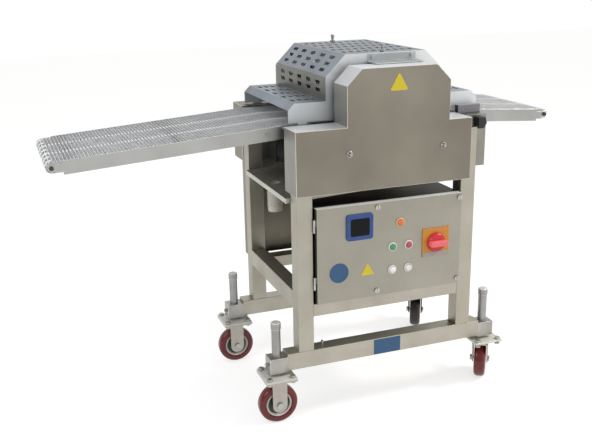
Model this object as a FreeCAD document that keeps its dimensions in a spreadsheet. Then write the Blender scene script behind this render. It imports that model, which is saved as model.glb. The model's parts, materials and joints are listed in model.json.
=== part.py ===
import FreeCAD, Part
import math
import os
import re

import Sketcher

# A conveyor meat tenderizer and flattener: a stainless frame on castors, a mesh belt that carries
# the meat under two press rollers, and a slotted guard over them. X runs along the belt from the
# infeed end to the outfeed end, Y from the operator's side to the back, and Z up from the floor.
# While it is built, X is 0 at the middle of the frame and Y is 0 at the front faces of its legs.
# The parts are written out moved, so that the origin is under the middle of the whole machine.

doc = FreeCAD.newDocument("MeatTenderizer")
sheet = doc.addObject("Spreadsheet::Sheet", "Sizes")

# Each row: the size's name, its value in millimetres or degrees, and what it is.
SIZES = [
    ("frame_length", 596, "outside of the legs, along X"),
    ("frame_depth", 514, "outside of the legs, along Y"),
    ("tube", 50, "side of the square tube"),
    ("tube_wall", 3, "wall of the square tube"),
    ("lower_rail_bottom", 175, "underside of the lower rails"),
    ("lower_rail_height", 55, "height of the lower rails"),
    ("rail_overhang", 37, "how far a lower rail passes its leg"),
    ("middle_rail_bottom", 341, "underside of the rails below the cabinet"),
    ("middle_rail_height", 40, "height of the rails below the cabinet"),
    ("side_rail_step", 20, "side rails above the rails below the cabinet"),
    ("side_rail_height", 55, "height of the side rails"),
    ("front_leg_drop", 31, "front leg's top under the belt"),
    ("rear_leg_drop", 61, "rear leg's top under the belt"),
    ("block_length", 56, "clamp block along X"),
    ("block_bottom", 171, "underside of the clamp blocks"),
    ("block_height", 49, "height of the clamp blocks"),
    ("post_radius", 14, "round height post"),
    ("post_reach", 113, "top of a height post above its block"),
    ("post_fit", 0.05, "clearance round a height post"),
    ("pad_length", 98, "castor plate along X"),
    ("pad_depth", 108, "castor plate along Y"),
    ("pad_thickness", 6, "plate welded under a height post"),
    ("pad_top", 161, "top of that plate above the floor"),
    ("castor_plate", 5, "top plate of a castor"),
    ("pad_bolt_inset", 12, "castor bolt to the plate's edge"),
    ("bolt_radius", 5, "castor bolt"),
    ("bolt_head", 6, "height of its head"),
    ("bolt_rim", 3.5, "head and nut round the bolt"),
    ("wheel_radius", 62.5, "outside of the tyre"),
    ("wheel_width", 38, "width of the tyre"),
    ("hub_radius", 41, "rim under the tyre"),
    ("hub_dish", 31, "radius of the hollow in the rim"),
    ("hub_dish_depth", 9, "depth of that hollow"),
    ("axle_radius", 6, "castor axle"),
    ("axle_fit", 0.05, "clearance round a castor axle"),
    ("boss_radius", 15, "middle of the rim"),
    ("fork_clearance", 3, "tyre to fork leg"),
    ("fork_sheet", 4, "fork leg"),
    ("fork_width", 47, "width of a fork leg"),
    ("castor_trail", 35, "swivel axis to wheel axle"),
    ("front_swivel_angle", 55, "where the front swivel castor points"),
    ("rear_swivel_angle", 60, "where the rear swivel castor points"),
    ("swivel_race", 30, "radius of the ball race"),
    ("swivel_race_height", 11, "height of the ball race"),
    ("swivel_gap", 0.4, "ball race to castor plate"),
    ("swivel_ear", 46, "swivel axis to the end of the fork's ears"),
    ("pedal_width", 34, "brake pedal"),
    ("pedal_reach", 118, "swivel axis to the pedal's end"),
    ("pedal_bend", 82, "swivel axis to the pedal's bend"),
    ("pedal_rise", 28, "how far the pedal rises past its bend"),
    ("pedal_sheet", 4, "brake pedal's plate"),
    ("pedal_pivot", 37, "swivel axis to the pedal's pin"),
    ("pedal_drop", 14, "castor plate to the pedal's pin"),
    ("pedal_pin", 4.5, "brake pedal's pin"),
    ("tray_overhang_left", 12, "low end of the drip tray past the legs"),
    ("tray_overhang_right", 27, "high end of the drip tray past the legs"),
    ("tray_gap_front", 8, "drip tray behind the front legs"),
    ("tray_gap_back", 6, "drip tray in front of the rear legs"),
    ("tray_drop", 32, "tray floor's low end under the side covers"),
    ("tray_rim", 15, "height of the tray walls"),
    ("tray_slope", 3, "fall of the tray floor"),
    ("tray_sheet", 2, "tray sheet"),
    ("spout_inset", 36, "drain spout from the frame's infeed end"),
    ("spout_y", 300, "middle of the drain spout along Y"),
    ("spout_radius", 23, "outside of the drain spout"),
    ("spout_wall", 3, "wall of the drain spout"),
    ("spout_length", 90, "drain spout under the tray"),
    ("spout_ribs", 7, "rings on the drain spout"),
    ("rib_pitch", 9, "ring to ring on the drain spout"),
    ("rib_height", 2, "how far a ring stands out"),
    ("cabinet_headroom", 10, "cabinet roof under the tray"),
    ("cabinet_front", 9, "front edge of the control cabinet"),
    ("cabinet_back", 190, "back wall of the control cabinet"),
    ("cabinet_gap", 2, "cabinet wall to leg"),
    ("cabinet_sheet", 2, "cabinet sheet"),
    ("door_gap_left", 7, "leg to the door's hinge side"),
    ("door_gap_right", 5, "leg to the door's lock side"),
    ("door_sill", 3, "door above the rail below it"),
    ("door_lap", 2, "door above the cabinet's roof"),
    ("door_front", -16, "outer face of the door"),
    ("door_thickness", 24, "depth of the door's folded edges"),
    ("door_sheet", 2, "door sheet"),
    ("hinge_gap", 2.5, "leg to the hinge axis"),
    ("hinge_y", -6, "hinge axis along Y"),
    ("hinge_radius", 4, "hinge knuckle"),
    ("hinge_pin", 2, "hinge pin"),
    ("hinge_fit", 0.05, "clearance round a hinge pin"),
    ("hinge_height", 40, "a hinge from end to end"),
    ("lower_hinge_inset", 45, "lower hinge to the door's lower edge"),
    ("upper_hinge_inset", 33, "upper hinge to the door's upper edge"),
    ("lock_radius", 8, "head of a quarter-turn lock"),
    ("lock_x", -45, "locks at the middle of the door, along X"),
    ("screen_width", 87, "touch screen frame along X"),
    ("screen_height", 81, "touch screen frame along Z"),
    ("screen_x", -104.5, "middle of the touch screen along X"),
    ("screen_rise", 230, "middle of the touch screen above the door's lower edge"),
    ("screen_border", 12, "touch screen frame to glass"),
    ("button_left", 6, "left column of buttons"),
    ("button_right", 61, "right column of buttons"),
    ("upper_row", 153, "upper row of buttons above the door's lower edge"),
    ("lower_row", 79, "lower row of buttons above the door's lower edge"),
    ("button_radius", 10, "button cap"),
    ("button_fit", 0.6, "clearance round a button cap"),
    ("button_height", 10, "face of a button in front of the door"),
    ("button_travel", 3, "how far a button goes in"),
    ("ring_radius", 14, "collar round a button"),
    ("ring_height", 5, "how far that collar stands out"),
    ("lamp_x", 31, "pilot lamp along X"),
    ("lamp_rise", 228, "pilot lamp above the door's lower edge"),
    ("switch_x", 154, "main switch along X"),
    ("switch_rise", 150, "main switch above the door's lower edge"),
    ("switch_plate", 92, "yellow plate of the main switch"),
    ("switch_radius", 31, "round base of the main switch"),
    ("grip_length", 58, "grip bar of the main switch"),
    ("grip_width", 15, "width of that bar"),
    ("bed_level", 911, "top of the belt between the press rollers"),
    ("bed_overhang", 62, "bed plates past the outfeed legs"),
    ("bed_sheet", 6, "bed plate"),
    ("front_bed_depth", 166, "front bed plate's lower edge under the belt"),
    ("front_flange_width", 70, "flange of the front bed plate"),
    ("rear_flange_width", 66, "flange of the rear bed plate"),
    ("cover_proud", 8, "front cover in front of the legs"),
    ("cover_depth", 98, "depth of the front cover"),
    ("cover_skirt", 189, "lower edge of the side covers under the belt"),
    ("cover_lift", 3, "low top of the side covers above the belt"),
    ("cover_step", 29, "high top of the side covers under the guard's"),
    ("cover_lap_left", 2, "side covers past the infeed legs"),
    ("cover_inset_right", 24, "side covers short of the outfeed legs' outside"),
    ("cover_wall_infeed", 35, "high part's infeed wall to the bearing plate"),
    ("cover_wall_outfeed", 11, "high part's outfeed wall to the bearing plate"),
    ("cover_bevel", 47, "bevel of the high part"),
    ("cover_sheet", 2, "side cover sheet"),
    ("rear_cover_gap", 8, "rear cover behind the rear legs"),
    ("rear_rise_gap", 16, "its high part behind the rear bearing plate's face"),
    ("chain_room", 36, "back of the rear cover behind the sprockets' face"),
    ("rear_panel_sill", 4, "rear panel above the rail below the cabinet"),
    ("rear_panel_depth", 26, "depth of the rear panel"),
    ("hood_inset_front", 2, "guard's front face from the flange's edge"),
    ("hood_inset_back", 8, "guard's back face in front of the bearing plate"),
    ("hood_shelf_infeed", 121, "shelf of the guard over the infeed"),
    ("hood_shelf_outfeed", 123, "shelf of the guard over the outfeed"),
    ("hood_clearance", 3, "guard's end faces above the covers' shelf"),
    ("hood_mouth", 44, "lower edge of the guard's lips above the belt"),
    ("hood_lip_bevel", 20, "bevel over a lip"),
    ("hood_room_infeed", 37, "infeed press roller to the guard's wall"),
    ("hood_room_outfeed", 41, "outfeed press roller to the guard's wall"),
    ("hood_headroom", 69, "press rollers to the top of the guard"),
    ("hood_bevel", 63, "bevel of the high part"),
    ("hood_sheet", 2, "guard sheet"),
    ("hood_foot", 30, "foot of the guard along X"),
    ("hood_rest", 0.3, "foot of the guard to the flange"),
    ("slot_length", 40, "slot along Y"),
    ("slot_width", 12, "slot across"),
    ("slot_first", 186, "first slot from the front"),
    ("slot_pitch", 79, "slot to slot along Y"),
    ("slot_rows_pitch", 25, "row to row"),
    ("slots_in_row", 5, "slots in a row"),
    ("shaft_slot", 36, "notch over a press roller shaft"),
    ("knob_radius", 9, "lifting knob of the guard"),
    ("bracket_inset_left", 122, "guard's bracket from the cover's infeed wall"),
    ("bracket_inset_right", 55, "guard's bracket from the cover's outfeed wall"),
    ("conveyor_gap", 5, "front conveyor rail behind the flange"),
    ("conveyor_width", 380, "outside of the conveyor rails"),
    ("rail_sheet", 3, "conveyor rail"),
    ("rail_height", 40, "height of a conveyor rail"),
    ("belt_gap", 3, "belt edge to rail"),
    ("belt_thickness", 3, "mesh belt"),
    ("conveyor_fall", 4, "fall of the conveyor arms"),
    ("bed_start_inset", 8, "level stretch from the frame's infeed end"),
    ("bed_end_lap", 10, "level stretch past the bed plates"),
    ("infeed_nose_reach", 31, "infeed nose roller past its rails"),
    ("outfeed_nose_reach", 30, "outfeed nose roller past its rails"),
    ("infeed_rail_lap", 90, "level stretch of the infeed rails"),
    ("outfeed_rail_lap", 70, "level stretch of the outfeed rails"),
    ("infeed_arm", 671, "sloping part of the infeed arm"),
    ("outfeed_arm", 262, "sloping part of the outfeed arm"),
    ("nose_radius", 14, "inside of the belt at a nose"),
    ("nose_shaft", 6, "nose roller shaft"),
    ("bend_radius", 20, "inside of the belt where the arms begin to fall"),
    ("roller_clearance", 0.3, "roller to belt"),
    ("return_radius", 12, "bar that the belt returns over"),
    ("return_inset_left", 40, "infeed return bar inside the level stretch"),
    ("return_inset_right", 100, "outfeed return bar from the outfeed rails"),
    ("drive_x", 35, "drive roller along X"),
    ("drive_drop", 111, "drive roller under the belt"),
    ("drive_radius", 40, "inside of the belt on the drive roller"),
    ("drive_shaft", 12, "drive roller shaft"),
    ("press_infeed_x", -60, "infeed press roller along X"),
    ("press_outfeed_x", 140, "outfeed press roller along X"),
    ("press_radius", 58, "press roller"),
    ("press_gap", 14, "belt to press roller"),
    ("press_shaft", 15, "press roller shaft"),
    ("groove_depth", 4, "grooves of a press roller"),
    ("groove_width", 8, "width of a groove"),
    ("groove_pitch", 24, "groove to groove"),
    ("shaft_fit", 0.05, "clearance in the bearings"),
    ("bearing_height", 12, "thickness of a flange bearing"),
    ("bearing_margin", 16, "flange bearing round its shaft"),
    ("upper_plate_end", 45, "bearing plate past a press roller's axis"),
    ("upper_plate_margin", 45, "bearing plate above the press rollers' axes"),
    ("front_plate_gap", 14, "front bearing plate behind the front bed plate"),
    ("rear_plate_gap", 52, "rear bearing plate behind the rear legs"),
    ("upper_plate_sheet", 8, "upper bearing plate"),
    ("chain_centres", 200, "drive roller to motor, along X"),
    ("motor_drop", 32, "motor shaft under the drive roller"),
    ("gearbox_length", 100, "gearbox along X"),
    ("gearbox_height", 72, "gearbox along Z"),
    ("gearbox_depth", 90, "gearbox along its shaft"),
    ("motor_radius", 48, "motor housing"),
    ("motor_length", 150, "motor housing along Y"),
    ("motor_fin", 3, "fin of the motor housing"),
    ("motor_fin_pitch", 12, "fin to fin"),
    ("sprocket_radius", 30, "chain sprocket"),
    ("sprocket_width", 7, "thickness of a sprocket"),
    ("sprocket_gap", 18, "sprockets behind the rear bearing plate's face"),
    ("chain_thickness", 7, "height of the chain"),
    ("cross_bar", 20, "width of a conveyor cross bar"),
    ("cross_bar_sheet", 5, "thickness of a conveyor cross bar"),
    ("cross_bar_pitch", 312, "cross bar to cross bar on the infeed"),
    ("wear_strip", 6, "width of a strip under the belt"),
    ("tie_rod", 9, "rod between the bed plates"),
    ("nut_radius", 8, "domed nut of the front cover"),
    ("rail_bolt", 7, "bolt head on the front infeed rail"),
    ("rail_bolt_inset", 49, "that bolt before the level stretch"),
    ("rail_bolt_drop", 25, "that bolt under the belt's level"),
    ("stud_radius", 4, "earthing stud"),
    ("stud_length", 16, "earthing stud"),
]

for row, (alias, amount, meaning) in enumerate(SIZES, start=1):
    sheet.set(f"A{row}", alias)
    sheet.set(f"B{row}", str(amount))
    sheet.setAlias(f"B{row}", alias)
    sheet.set(f"C{row}", meaning)
doc.recompute()

# Places that several pieces share, each worked out from sizes and other places.
PLACES = {
    "front_leg_top": "bed_level - front_leg_drop",
    "rear_leg_top": "bed_level - rear_leg_drop",
    "side_rail_bottom": "middle_rail_bottom + side_rail_step",
    "post_top": "block_bottom + block_height + post_reach",
    "tray_left": "-frame_length / 2 - tray_overhang_left",
    "tray_right": "frame_length / 2 + tray_overhang_right",
    "tray_front": "tube + tray_gap_front",
    "tray_back": "frame_depth - tube - tray_gap_back",
    "tray_floor": "cover_bottom - tray_drop",
    "spout_x": "-frame_length / 2 + spout_inset",
    "spout_bottom": "tray_floor - spout_length",
    "cabinet_bottom": "middle_rail_bottom + middle_rail_height",
    "cabinet_top": "tray_floor - cabinet_headroom",
    "door_left": "-frame_length / 2 + tube + door_gap_left",
    "door_right": "frame_length / 2 - tube - door_gap_right",
    "door_bottom": "cabinet_bottom + door_sill",
    "door_top": "cabinet_top + door_lap",
    "hinge_x": "-frame_length / 2 + tube + hinge_gap",
    "lower_hinge": "door_bottom + lower_hinge_inset",
    "upper_hinge": "door_top - upper_hinge_inset - hinge_height",
    "screen_z": "door_bottom + screen_rise",
    "button_upper": "door_bottom + upper_row",
    "button_lower": "door_bottom + lower_row",
    "button_front": "door_front - button_height",
    "lamp_z": "door_bottom + lamp_rise",
    "switch_z": "door_bottom + switch_rise",
    "bed_right": "frame_length / 2 + bed_overhang",
    "front_bed_bottom": "bed_level - front_bed_depth",
    "front_ledge": "tube + front_flange_width",
    "rear_ledge": "frame_depth + rear_flange_width",
    "cover_bottom": "bed_level - cover_skirt",
    "cover_shelf": "bed_level + cover_lift",
    "cover_top": "hood_top - cover_step",
    "cover_left": "-frame_length / 2 - cover_lap_left",
    "cover_right": "frame_length / 2 - cover_inset_right",
    "cover_rise_left": "upper_plate_left - cover_wall_infeed",
    "cover_rise_right": "upper_plate_right + cover_wall_outfeed",
    "rear_cover_front": "frame_depth + rear_cover_gap",
    "rear_rise_front": "rear_upper_plate + rear_rise_gap",
    "rear_cover_back": "sprocket_y + chain_room",
    "rear_panel_bottom": "middle_rail_bottom + middle_rail_height + rear_panel_sill",
    "press_z": "bed_level + press_gap + press_radius",
    "hood_front": "front_ledge - hood_inset_front",
    "hood_back": "rear_upper_plate - hood_inset_back",
    "hood_rise_left": "press_infeed_x - press_radius - hood_room_infeed",
    "hood_rise_right": "press_outfeed_x + press_radius + hood_room_outfeed",
    "hood_left": "hood_rise_left - hood_shelf_infeed",
    "hood_right": "hood_rise_right + hood_shelf_outfeed",
    "hood_bottom": "cover_shelf + hood_clearance",
    "hood_lip": "bed_level + hood_mouth",
    "hood_top": "press_z + press_radius + hood_headroom",
    "bracket_left": "cover_rise_left + bracket_inset_left",
    "bracket_right": "cover_rise_right - bracket_inset_right",
    "conveyor_front": "front_ledge + conveyor_gap",
    "bed_start": "-frame_length / 2 + bed_start_inset",
    "bed_end": "bed_right + bed_end_lap",
    "infeed_nose": "bed_start - infeed_arm",
    "outfeed_nose": "bed_end + outfeed_arm",
    "infeed_rail_end": "infeed_nose + infeed_nose_reach",
    "outfeed_rail_end": "outfeed_nose - outfeed_nose_reach",
    "infeed_rail_start": "bed_start + infeed_rail_lap",
    "outfeed_rail_start": "bed_end - outfeed_rail_lap",
    "return_left": "bed_start + return_inset_left",
    "return_right": "outfeed_rail_start - return_inset_right",
    "drive_z": "bed_level - drive_drop",
    "motor_x": "drive_x - chain_centres",
    "motor_z": "drive_z - motor_drop",
    "front_upper_plate": "tube + front_plate_gap",
    "rear_upper_plate": "frame_depth + rear_plate_gap",
    "upper_plate_left": "press_infeed_x - upper_plate_end",
    "upper_plate_right": "press_outfeed_x + upper_plate_end",
    "upper_plate_top": "press_z + upper_plate_margin",
    "sprocket_y": "rear_upper_plate + sprocket_gap",
}

NAMES = {alias for alias, amount, meaning in SIZES}
ORIGIN = FreeCAD.Vector(0, 0, 0)
TURNS = {
    "X": FreeCAD.Rotation(FreeCAD.Vector(0, 1, 0), 90),
    "Y": FreeCAD.Rotation(FreeCAD.Vector(1, 0, 0), -90),
    "Z": FreeCAD.Rotation(),
}
nodes = []


# Formulas are written with the names of sizes and places, such as "tube - 2 * tube_wall".
def spelled(formula):
    """The formula with each place in it written out in sizes."""
    return re.sub(
        r"[a-z_]+",
        lambda word: f"({spelled(PLACES[word[0]])})" if word[0] in PLACES else word[0],
        str(formula),
    )


def full(formula):
    """The formula as an expression that any object of the document can hold."""
    return re.sub(
        r"[a-z_]+", lambda word: f"Sizes.{word[0]}" if word[0] in NAMES else word[0], spelled(formula)
    )


def value(formula):
    """What a formula comes to now."""
    found = sheet.evalExpression(spelled(formula))
    return float(getattr(found, "Value", found))


def bind(thing, prop, formula):
    thing.setExpression(prop, full(formula))


def place(thing, corner):
    for axis, formula in zip("xyz", corner):
        bind(thing, f"Placement.Base.{axis}", formula)


# The simple shapes.
def block(name, low, spans):
    """A box from its lowest corner and its three lengths."""
    made = doc.addObject("Part::Box", name)
    for prop, formula in zip(("Length", "Width", "Height"), spans):
        bind(made, prop, formula)
    place(made, low)
    return made


def between(name, low, high):
    """A box from its lowest and its highest corner."""
    return block(name, low, [f"({b}) - ({a})" for a, b in zip(low, high)])


def rod(name, start, radius, length, along="Z"):
    made = doc.addObject("Part::Cylinder", name)
    made.Placement.Rotation = TURNS[along]
    bind(made, "Radius", radius)
    bind(made, "Height", length)
    place(made, start)
    return made


def cone(name, start, radius, end_radius, length, along="Z"):
    made = doc.addObject("Part::Cone", name)
    made.Placement.Rotation = TURNS[along]
    bind(made, "Radius1", radius)
    bind(made, "Radius2", end_radius)
    bind(made, "Height", length)
    place(made, start)
    return made


def cut(name, base, *tools):
    made = doc.addObject("Part::Cut", name)
    made.Base = base
    made.Tool = tools[0] if len(tools) == 1 else together(f"{name}_tools", tools)
    return made


def fuse(name, *pieces):
    made = doc.addObject("Part::MultiFuse", name)
    made.Shapes = list(pieces)
    made.Refine = True
    return made


def together(name, pieces):
    made = doc.addObject("Part::Compound", name)
    made.Links = list(pieces)
    return made


def turned(name, pieces, centre, angle):
    """The pieces turned about an upright axis through a point."""
    made = together(name, pieces)
    x, y = centre
    cosine, sine = f"cos(({angle}) * 1deg)", f"sin(({angle}) * 1deg)"
    made.Placement.Rotation = FreeCAD.Rotation(FreeCAD.Vector(0, 0, 1), 1)
    bind(made, "Placement.Rotation.Angle", f"({angle}) * 1deg")
    bind(made, "Placement.Base.x", f"({x}) - ({x}) * {cosine} + ({y}) * {sine}")
    bind(made, "Placement.Base.y", f"({y}) - ({x}) * {sine} - ({y}) * {cosine}")
    return made


# Sheet metal and plates are padded from a sketch whose every corner is held by two formulas.
def outline(body, name, plane, offset, corners):
    """A closed sketch on one of the body's own planes, moved off it by a formula."""
    sketch = body.newObject("Sketcher::SketchObject", name)
    base = next(o for o in body.Origin.OriginFeatures if o.Role == plane)
    sketch.AttachmentSupport = [(base, "")]
    sketch.MapMode = "FlatFace"
    bind(sketch, "AttachmentOffset.Base.z", offset)
    spots = [FreeCAD.Vector(value(a), value(b), 0) for a, b in corners]
    count = len(spots)
    for i in range(count):
        sketch.addGeometry(Part.LineSegment(spots[i], spots[(i + 1) % count]), False)
    for i in range(count):
        sketch.addConstraint(Sketcher.Constraint("Coincident", i, 2, (i + 1) % count, 1))
    for i, (across, up) in enumerate(corners):
        for kind, formula, start in (("DistanceX", across, spots[i].x), ("DistanceY", up, spots[i].y)):
            held = sketch.addConstraint(Sketcher.Constraint(kind, -1, 1, i, 1, start))
            bind(sketch, f"Constraints[{held}]", formula)
    return sketch


def prism_along_y(name, corners, start, depth):
    """An outline in X and Z, padded towards +Y from a start."""
    body = doc.addObject("PartDesign::Body", name)
    pad = body.newObject("PartDesign::Pad", f"{name}_pad")
    pad.Profile = outline(body, f"{name}_outline", "XZ_Plane", f"-({start})", corners)
    pad.Reversed = True
    bind(pad, "Length", depth)
    body.Tip = pad
    return body


def node(label, made):
    """Names a finished piece: its file takes this name."""
    made.Label = label
    nodes.append(made)
    return made


LEG_X = {"left": "-frame_length / 2", "right": "frame_length / 2 - tube"}
LEG_Y = {"front": "0", "rear": "frame_depth - tube"}
POST_X = {
    "left": "-(frame_length / 2 + rail_overhang + block_length / 2)",
    "right": "frame_length / 2 + rail_overhang + block_length / 2",
}
POST_Y = {"front": "tube / 2", "rear": "frame_depth - tube / 2"}
CORNERS = [(side, end) for end in LEG_Y for side in LEG_X]
PLATE_UNDER = "pad_top - pad_thickness - castor_plate"


# The welded frame of square tube.
def box_tube(name, low, high, along):
    """A square tube that is open at both ends."""
    inner_low, inner_high = list(low), list(high)
    for i, axis in enumerate("XYZ"):
        if axis != along:
            inner_low[i] = f"({low[i]}) + tube_wall"
            inner_high[i] = f"({high[i]}) - tube_wall"
    return cut(
        name, between(f"{name}_outside", low, high), between(f"{name}_bore", inner_low, inner_high)
    )


def frame_legs():
    legs = []
    for side, end in CORNERS:
        x, y = LEG_X[side], LEG_Y[end]
        low = (x, y, "lower_rail_bottom + lower_rail_height")
        high = (f"{x} + tube", f"{y} + tube", f"{end}_leg_top")
        legs.append(box_tube(f"{end}_{side}_leg", low, high, "Z"))
    node("frame_legs", together("frame_legs_group", legs))


def frame_lower_rails():
    rails = []
    for end, y in LEG_Y.items():
        low = ("-(frame_length / 2 + rail_overhang)", y, "lower_rail_bottom")
        high = (
            "frame_length / 2 + rail_overhang", f"{y} + tube", "lower_rail_bottom + lower_rail_height"
        )
        rails.append(box_tube(f"{end}_lower_rail", low, high, "X"))
    node("frame_lower_rails", together("frame_lower_rails_group", rails))


def frame_middle_rails():
    rails = []
    for end, y in LEG_Y.items():
        low = ("-frame_length / 2 + tube", y, "middle_rail_bottom")
        high = ("frame_length / 2 - tube", f"{y} + tube", "middle_rail_bottom + middle_rail_height")
        rails.append(box_tube(f"{end}_middle_rail", low, high, "X"))
    for side, x in LEG_X.items():
        low = (x, "tube", "side_rail_bottom")
        high = (f"{x} + tube", "frame_depth - tube", "side_rail_bottom + side_rail_height")
        rails.append(box_tube(f"{side}_side_rail", low, high, "Y"))
    node("frame_middle_rails", together("frame_middle_rails_group", rails))


# The four posts that set the machine's height, each held by a screw in a block at a rail's end.
def clamp_blocks():
    blocks = []
    for side, end in CORNERS:
        name = f"{end}_{side}_block"
        x, y = POST_X[side], POST_Y[end]
        low = (f"{x} - block_length / 2", f"{y} - tube / 2", "block_bottom")
        outside = block(f"{name}_outside", low, ("block_length", "tube", "block_height"))
        bore = rod(f"{name}_bore", (x, y, "block_bottom"), "post_radius + post_fit", "block_height")
        blocks.append(cut(name, outside, bore))
    node("clamp_blocks", together("clamp_blocks_group", blocks))


def height_posts():
    posts = []
    for side, end in CORNERS:
        name = f"{end}_{side}_post"
        x, y = POST_X[side], POST_Y[end]
        stem = rod(f"{name}_stem", (x, y, "pad_top"), "post_radius", "post_top - pad_top - 22")
        cap = rod(f"{name}_cap", (x, y, "post_top - 22"), "post_radius + 1.5", "20")
        crown = cone(f"{name}_crown", (x, y, "post_top - 2"), "post_radius + 1.5", "post_radius - 1", "2")
        pad = block(
            f"{name}_pad",
            (f"{x} - pad_length / 2", f"{y} - pad_depth / 2", "pad_top - pad_thickness"),
            ("pad_length", "pad_depth", "pad_thickness"),
        )
        posts.append(fuse(name, stem, cap, crown, pad))
    node("height_posts", together("height_posts_group", posts))


def bolt_spots(side, end):
    """The four castor bolts of one corner."""
    for across in (-1, 1):
        for along in (-1, 1):
            x = f"{POST_X[side]} + ({across}) * (pad_length / 2 - pad_bolt_inset)"
            y = f"{POST_Y[end]} + ({along}) * (pad_depth / 2 - pad_bolt_inset)"
            yield x, y


def plate_with_holes(name, side, end):
    """A castor's top plate, bolted under the plate of its height post."""
    x, y = POST_X[side], POST_Y[end]
    low = (f"{x} - pad_length / 2", f"{y} - pad_depth / 2", PLATE_UNDER)
    plate = block(f"{name}_blank", low, ("pad_length", "pad_depth", "castor_plate"))
    holes = [
        rod(f"{name}_hole_{i}", (a, b, low[2]), "bolt_radius", "castor_plate")
        for i, (a, b) in enumerate(bolt_spots(side, end))
    ]
    return cut(name, plate, *holes)


def plate_bolts():
    """The shanks end in the thick plate, whose holes are tapped and not modelled."""
    bolts = []
    for side, end in CORNERS:
        for i, (x, y) in enumerate(bolt_spots(side, end)):
            name = f"{end}_{side}_bolt_{i}"
            low = f"{PLATE_UNDER} - bolt_head"
            shank = rod(f"{name}_shank", (x, y, low), "bolt_radius", "castor_plate + bolt_head")
            head = rod(f"{name}_head", (x, y, low), "bolt_radius + bolt_rim", "bolt_head")
            bolts.append(fuse(name, shank, head))
            bolts.append(rod(f"{name}_nut", (x, y, "pad_top"), "bolt_radius + bolt_rim", "bolt_head + 1"))
    node("plate_bolts", together("plate_bolts_group", bolts))


# The castors. Those on the infeed side are rigid, and those on the outfeed side swivel and brake.
AXLE_Z = "wheel_radius"
FORK_HALF = "(wheel_width / 2 + fork_clearance)"


def fork_leg(name, x, y, side_sign, top):
    """One leg of a rigid fork: a flat bar, rounded about the axle."""
    face = f"({y}) + ({side_sign}) * {FORK_HALF}" if side_sign > 0 else f"({y}) - {FORK_HALF} - fork_sheet"
    bar = between(
        f"{name}_bar",
        (f"({x}) - fork_width / 2", face, AXLE_Z),
        (f"({x}) + fork_width / 2", f"{face} + fork_sheet", top),
    )
    end = rod(f"{name}_end", (x, face, AXLE_Z), "fork_width / 2", "fork_sheet", "Y")
    hole = rod(f"{name}_hole", (x, face, AXLE_Z), "axle_radius", "fork_sheet", "Y")
    return cut(name, fuse(f"{name}_blank", bar, end), hole)


def axle_bolt(name, x, y):
    """The axle, with a head in front and a nut behind."""
    reach = f"{FORK_HALF} + fork_sheet"
    pin = rod(f"{name}_pin", (x, f"({y}) - {reach}", AXLE_Z), "axle_radius", f"2 * ({reach})", "Y")
    head = rod(f"{name}_head", (x, f"({y}) - ({reach}) - 6", AXLE_Z), "axle_radius + 4", "6", "Y")
    nut = rod(f"{name}_nut", (x, f"({y}) + {reach}", AXLE_Z), "axle_radius + 4", "8", "Y")
    return fuse(name, pin, head, nut)


def wheel(name, x, y):
    """The tyre and the dished rim of one castor, as two pieces."""
    front = f"({y}) - wheel_width / 2"
    tread = rod(f"{name}_tread", (x, f"{front} + 4", AXLE_Z), "wheel_radius", "wheel_width - 8", "Y")
    near = cone(f"{name}_near", (x, front, AXLE_Z), "wheel_radius - 5", "wheel_radius", "4", "Y")
    far = cone(
        f"{name}_far",
        (x, f"{front} + wheel_width - 4", AXLE_Z),
        "wheel_radius",
        "wheel_radius - 5",
        "4",
        "Y",
    )
    seat = rod(f"{name}_seat", (x, front, AXLE_Z), "hub_radius", "wheel_width", "Y")
    tyre = cut(f"{name}_tyre", fuse(f"{name}_tyre_blank", tread, near, far), seat)
    rim = rod(f"{name}_rim", (x, front, AXLE_Z), "hub_radius", "wheel_width", "Y")
    cuts = [rod(f"{name}_bore", (x, front, AXLE_Z), "axle_radius + axle_fit", "wheel_width", "Y")]
    for i, start in enumerate((front, f"{front} + wheel_width - hub_dish_depth")):
        dish = rod(f"{name}_dish_{i}", (x, start, AXLE_Z), "hub_dish", "hub_dish_depth", "Y")
        boss = rod(f"{name}_boss_{i}", (x, start, AXLE_Z), "boss_radius", "hub_dish_depth", "Y")
        cuts.append(cut(f"{name}_hollow_{i}", dish, boss))
    return tyre, cut(f"{name}_hub", rim, *cuts)


def rigid_castors():
    forks, axles = [], []
    for end in LEG_Y:
        x, y = POST_X["left"], POST_Y[end]
        forks.append(
            fuse(
                f"rigid_fork_{end}",
                plate_with_holes(f"rigid_plate_{end}", "left", end),
                fork_leg(f"rigid_near_{end}", x, y, -1, PLATE_UNDER),
                fork_leg(f"rigid_far_{end}", x, y, 1, PLATE_UNDER),
            )
        )
        axles.append(axle_bolt(f"rigid_axle_{end}", x, y))
        tyre, hub = wheel(f"left_{end}_wheel", x, y)
        node(f"left_{end}_tyre", tyre)
        node(f"left_{end}_hub", hub)
    node("rigid_forks", together("rigid_forks_group", forks))
    node("rigid_axles", together("rigid_axles_group", axles))


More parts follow.
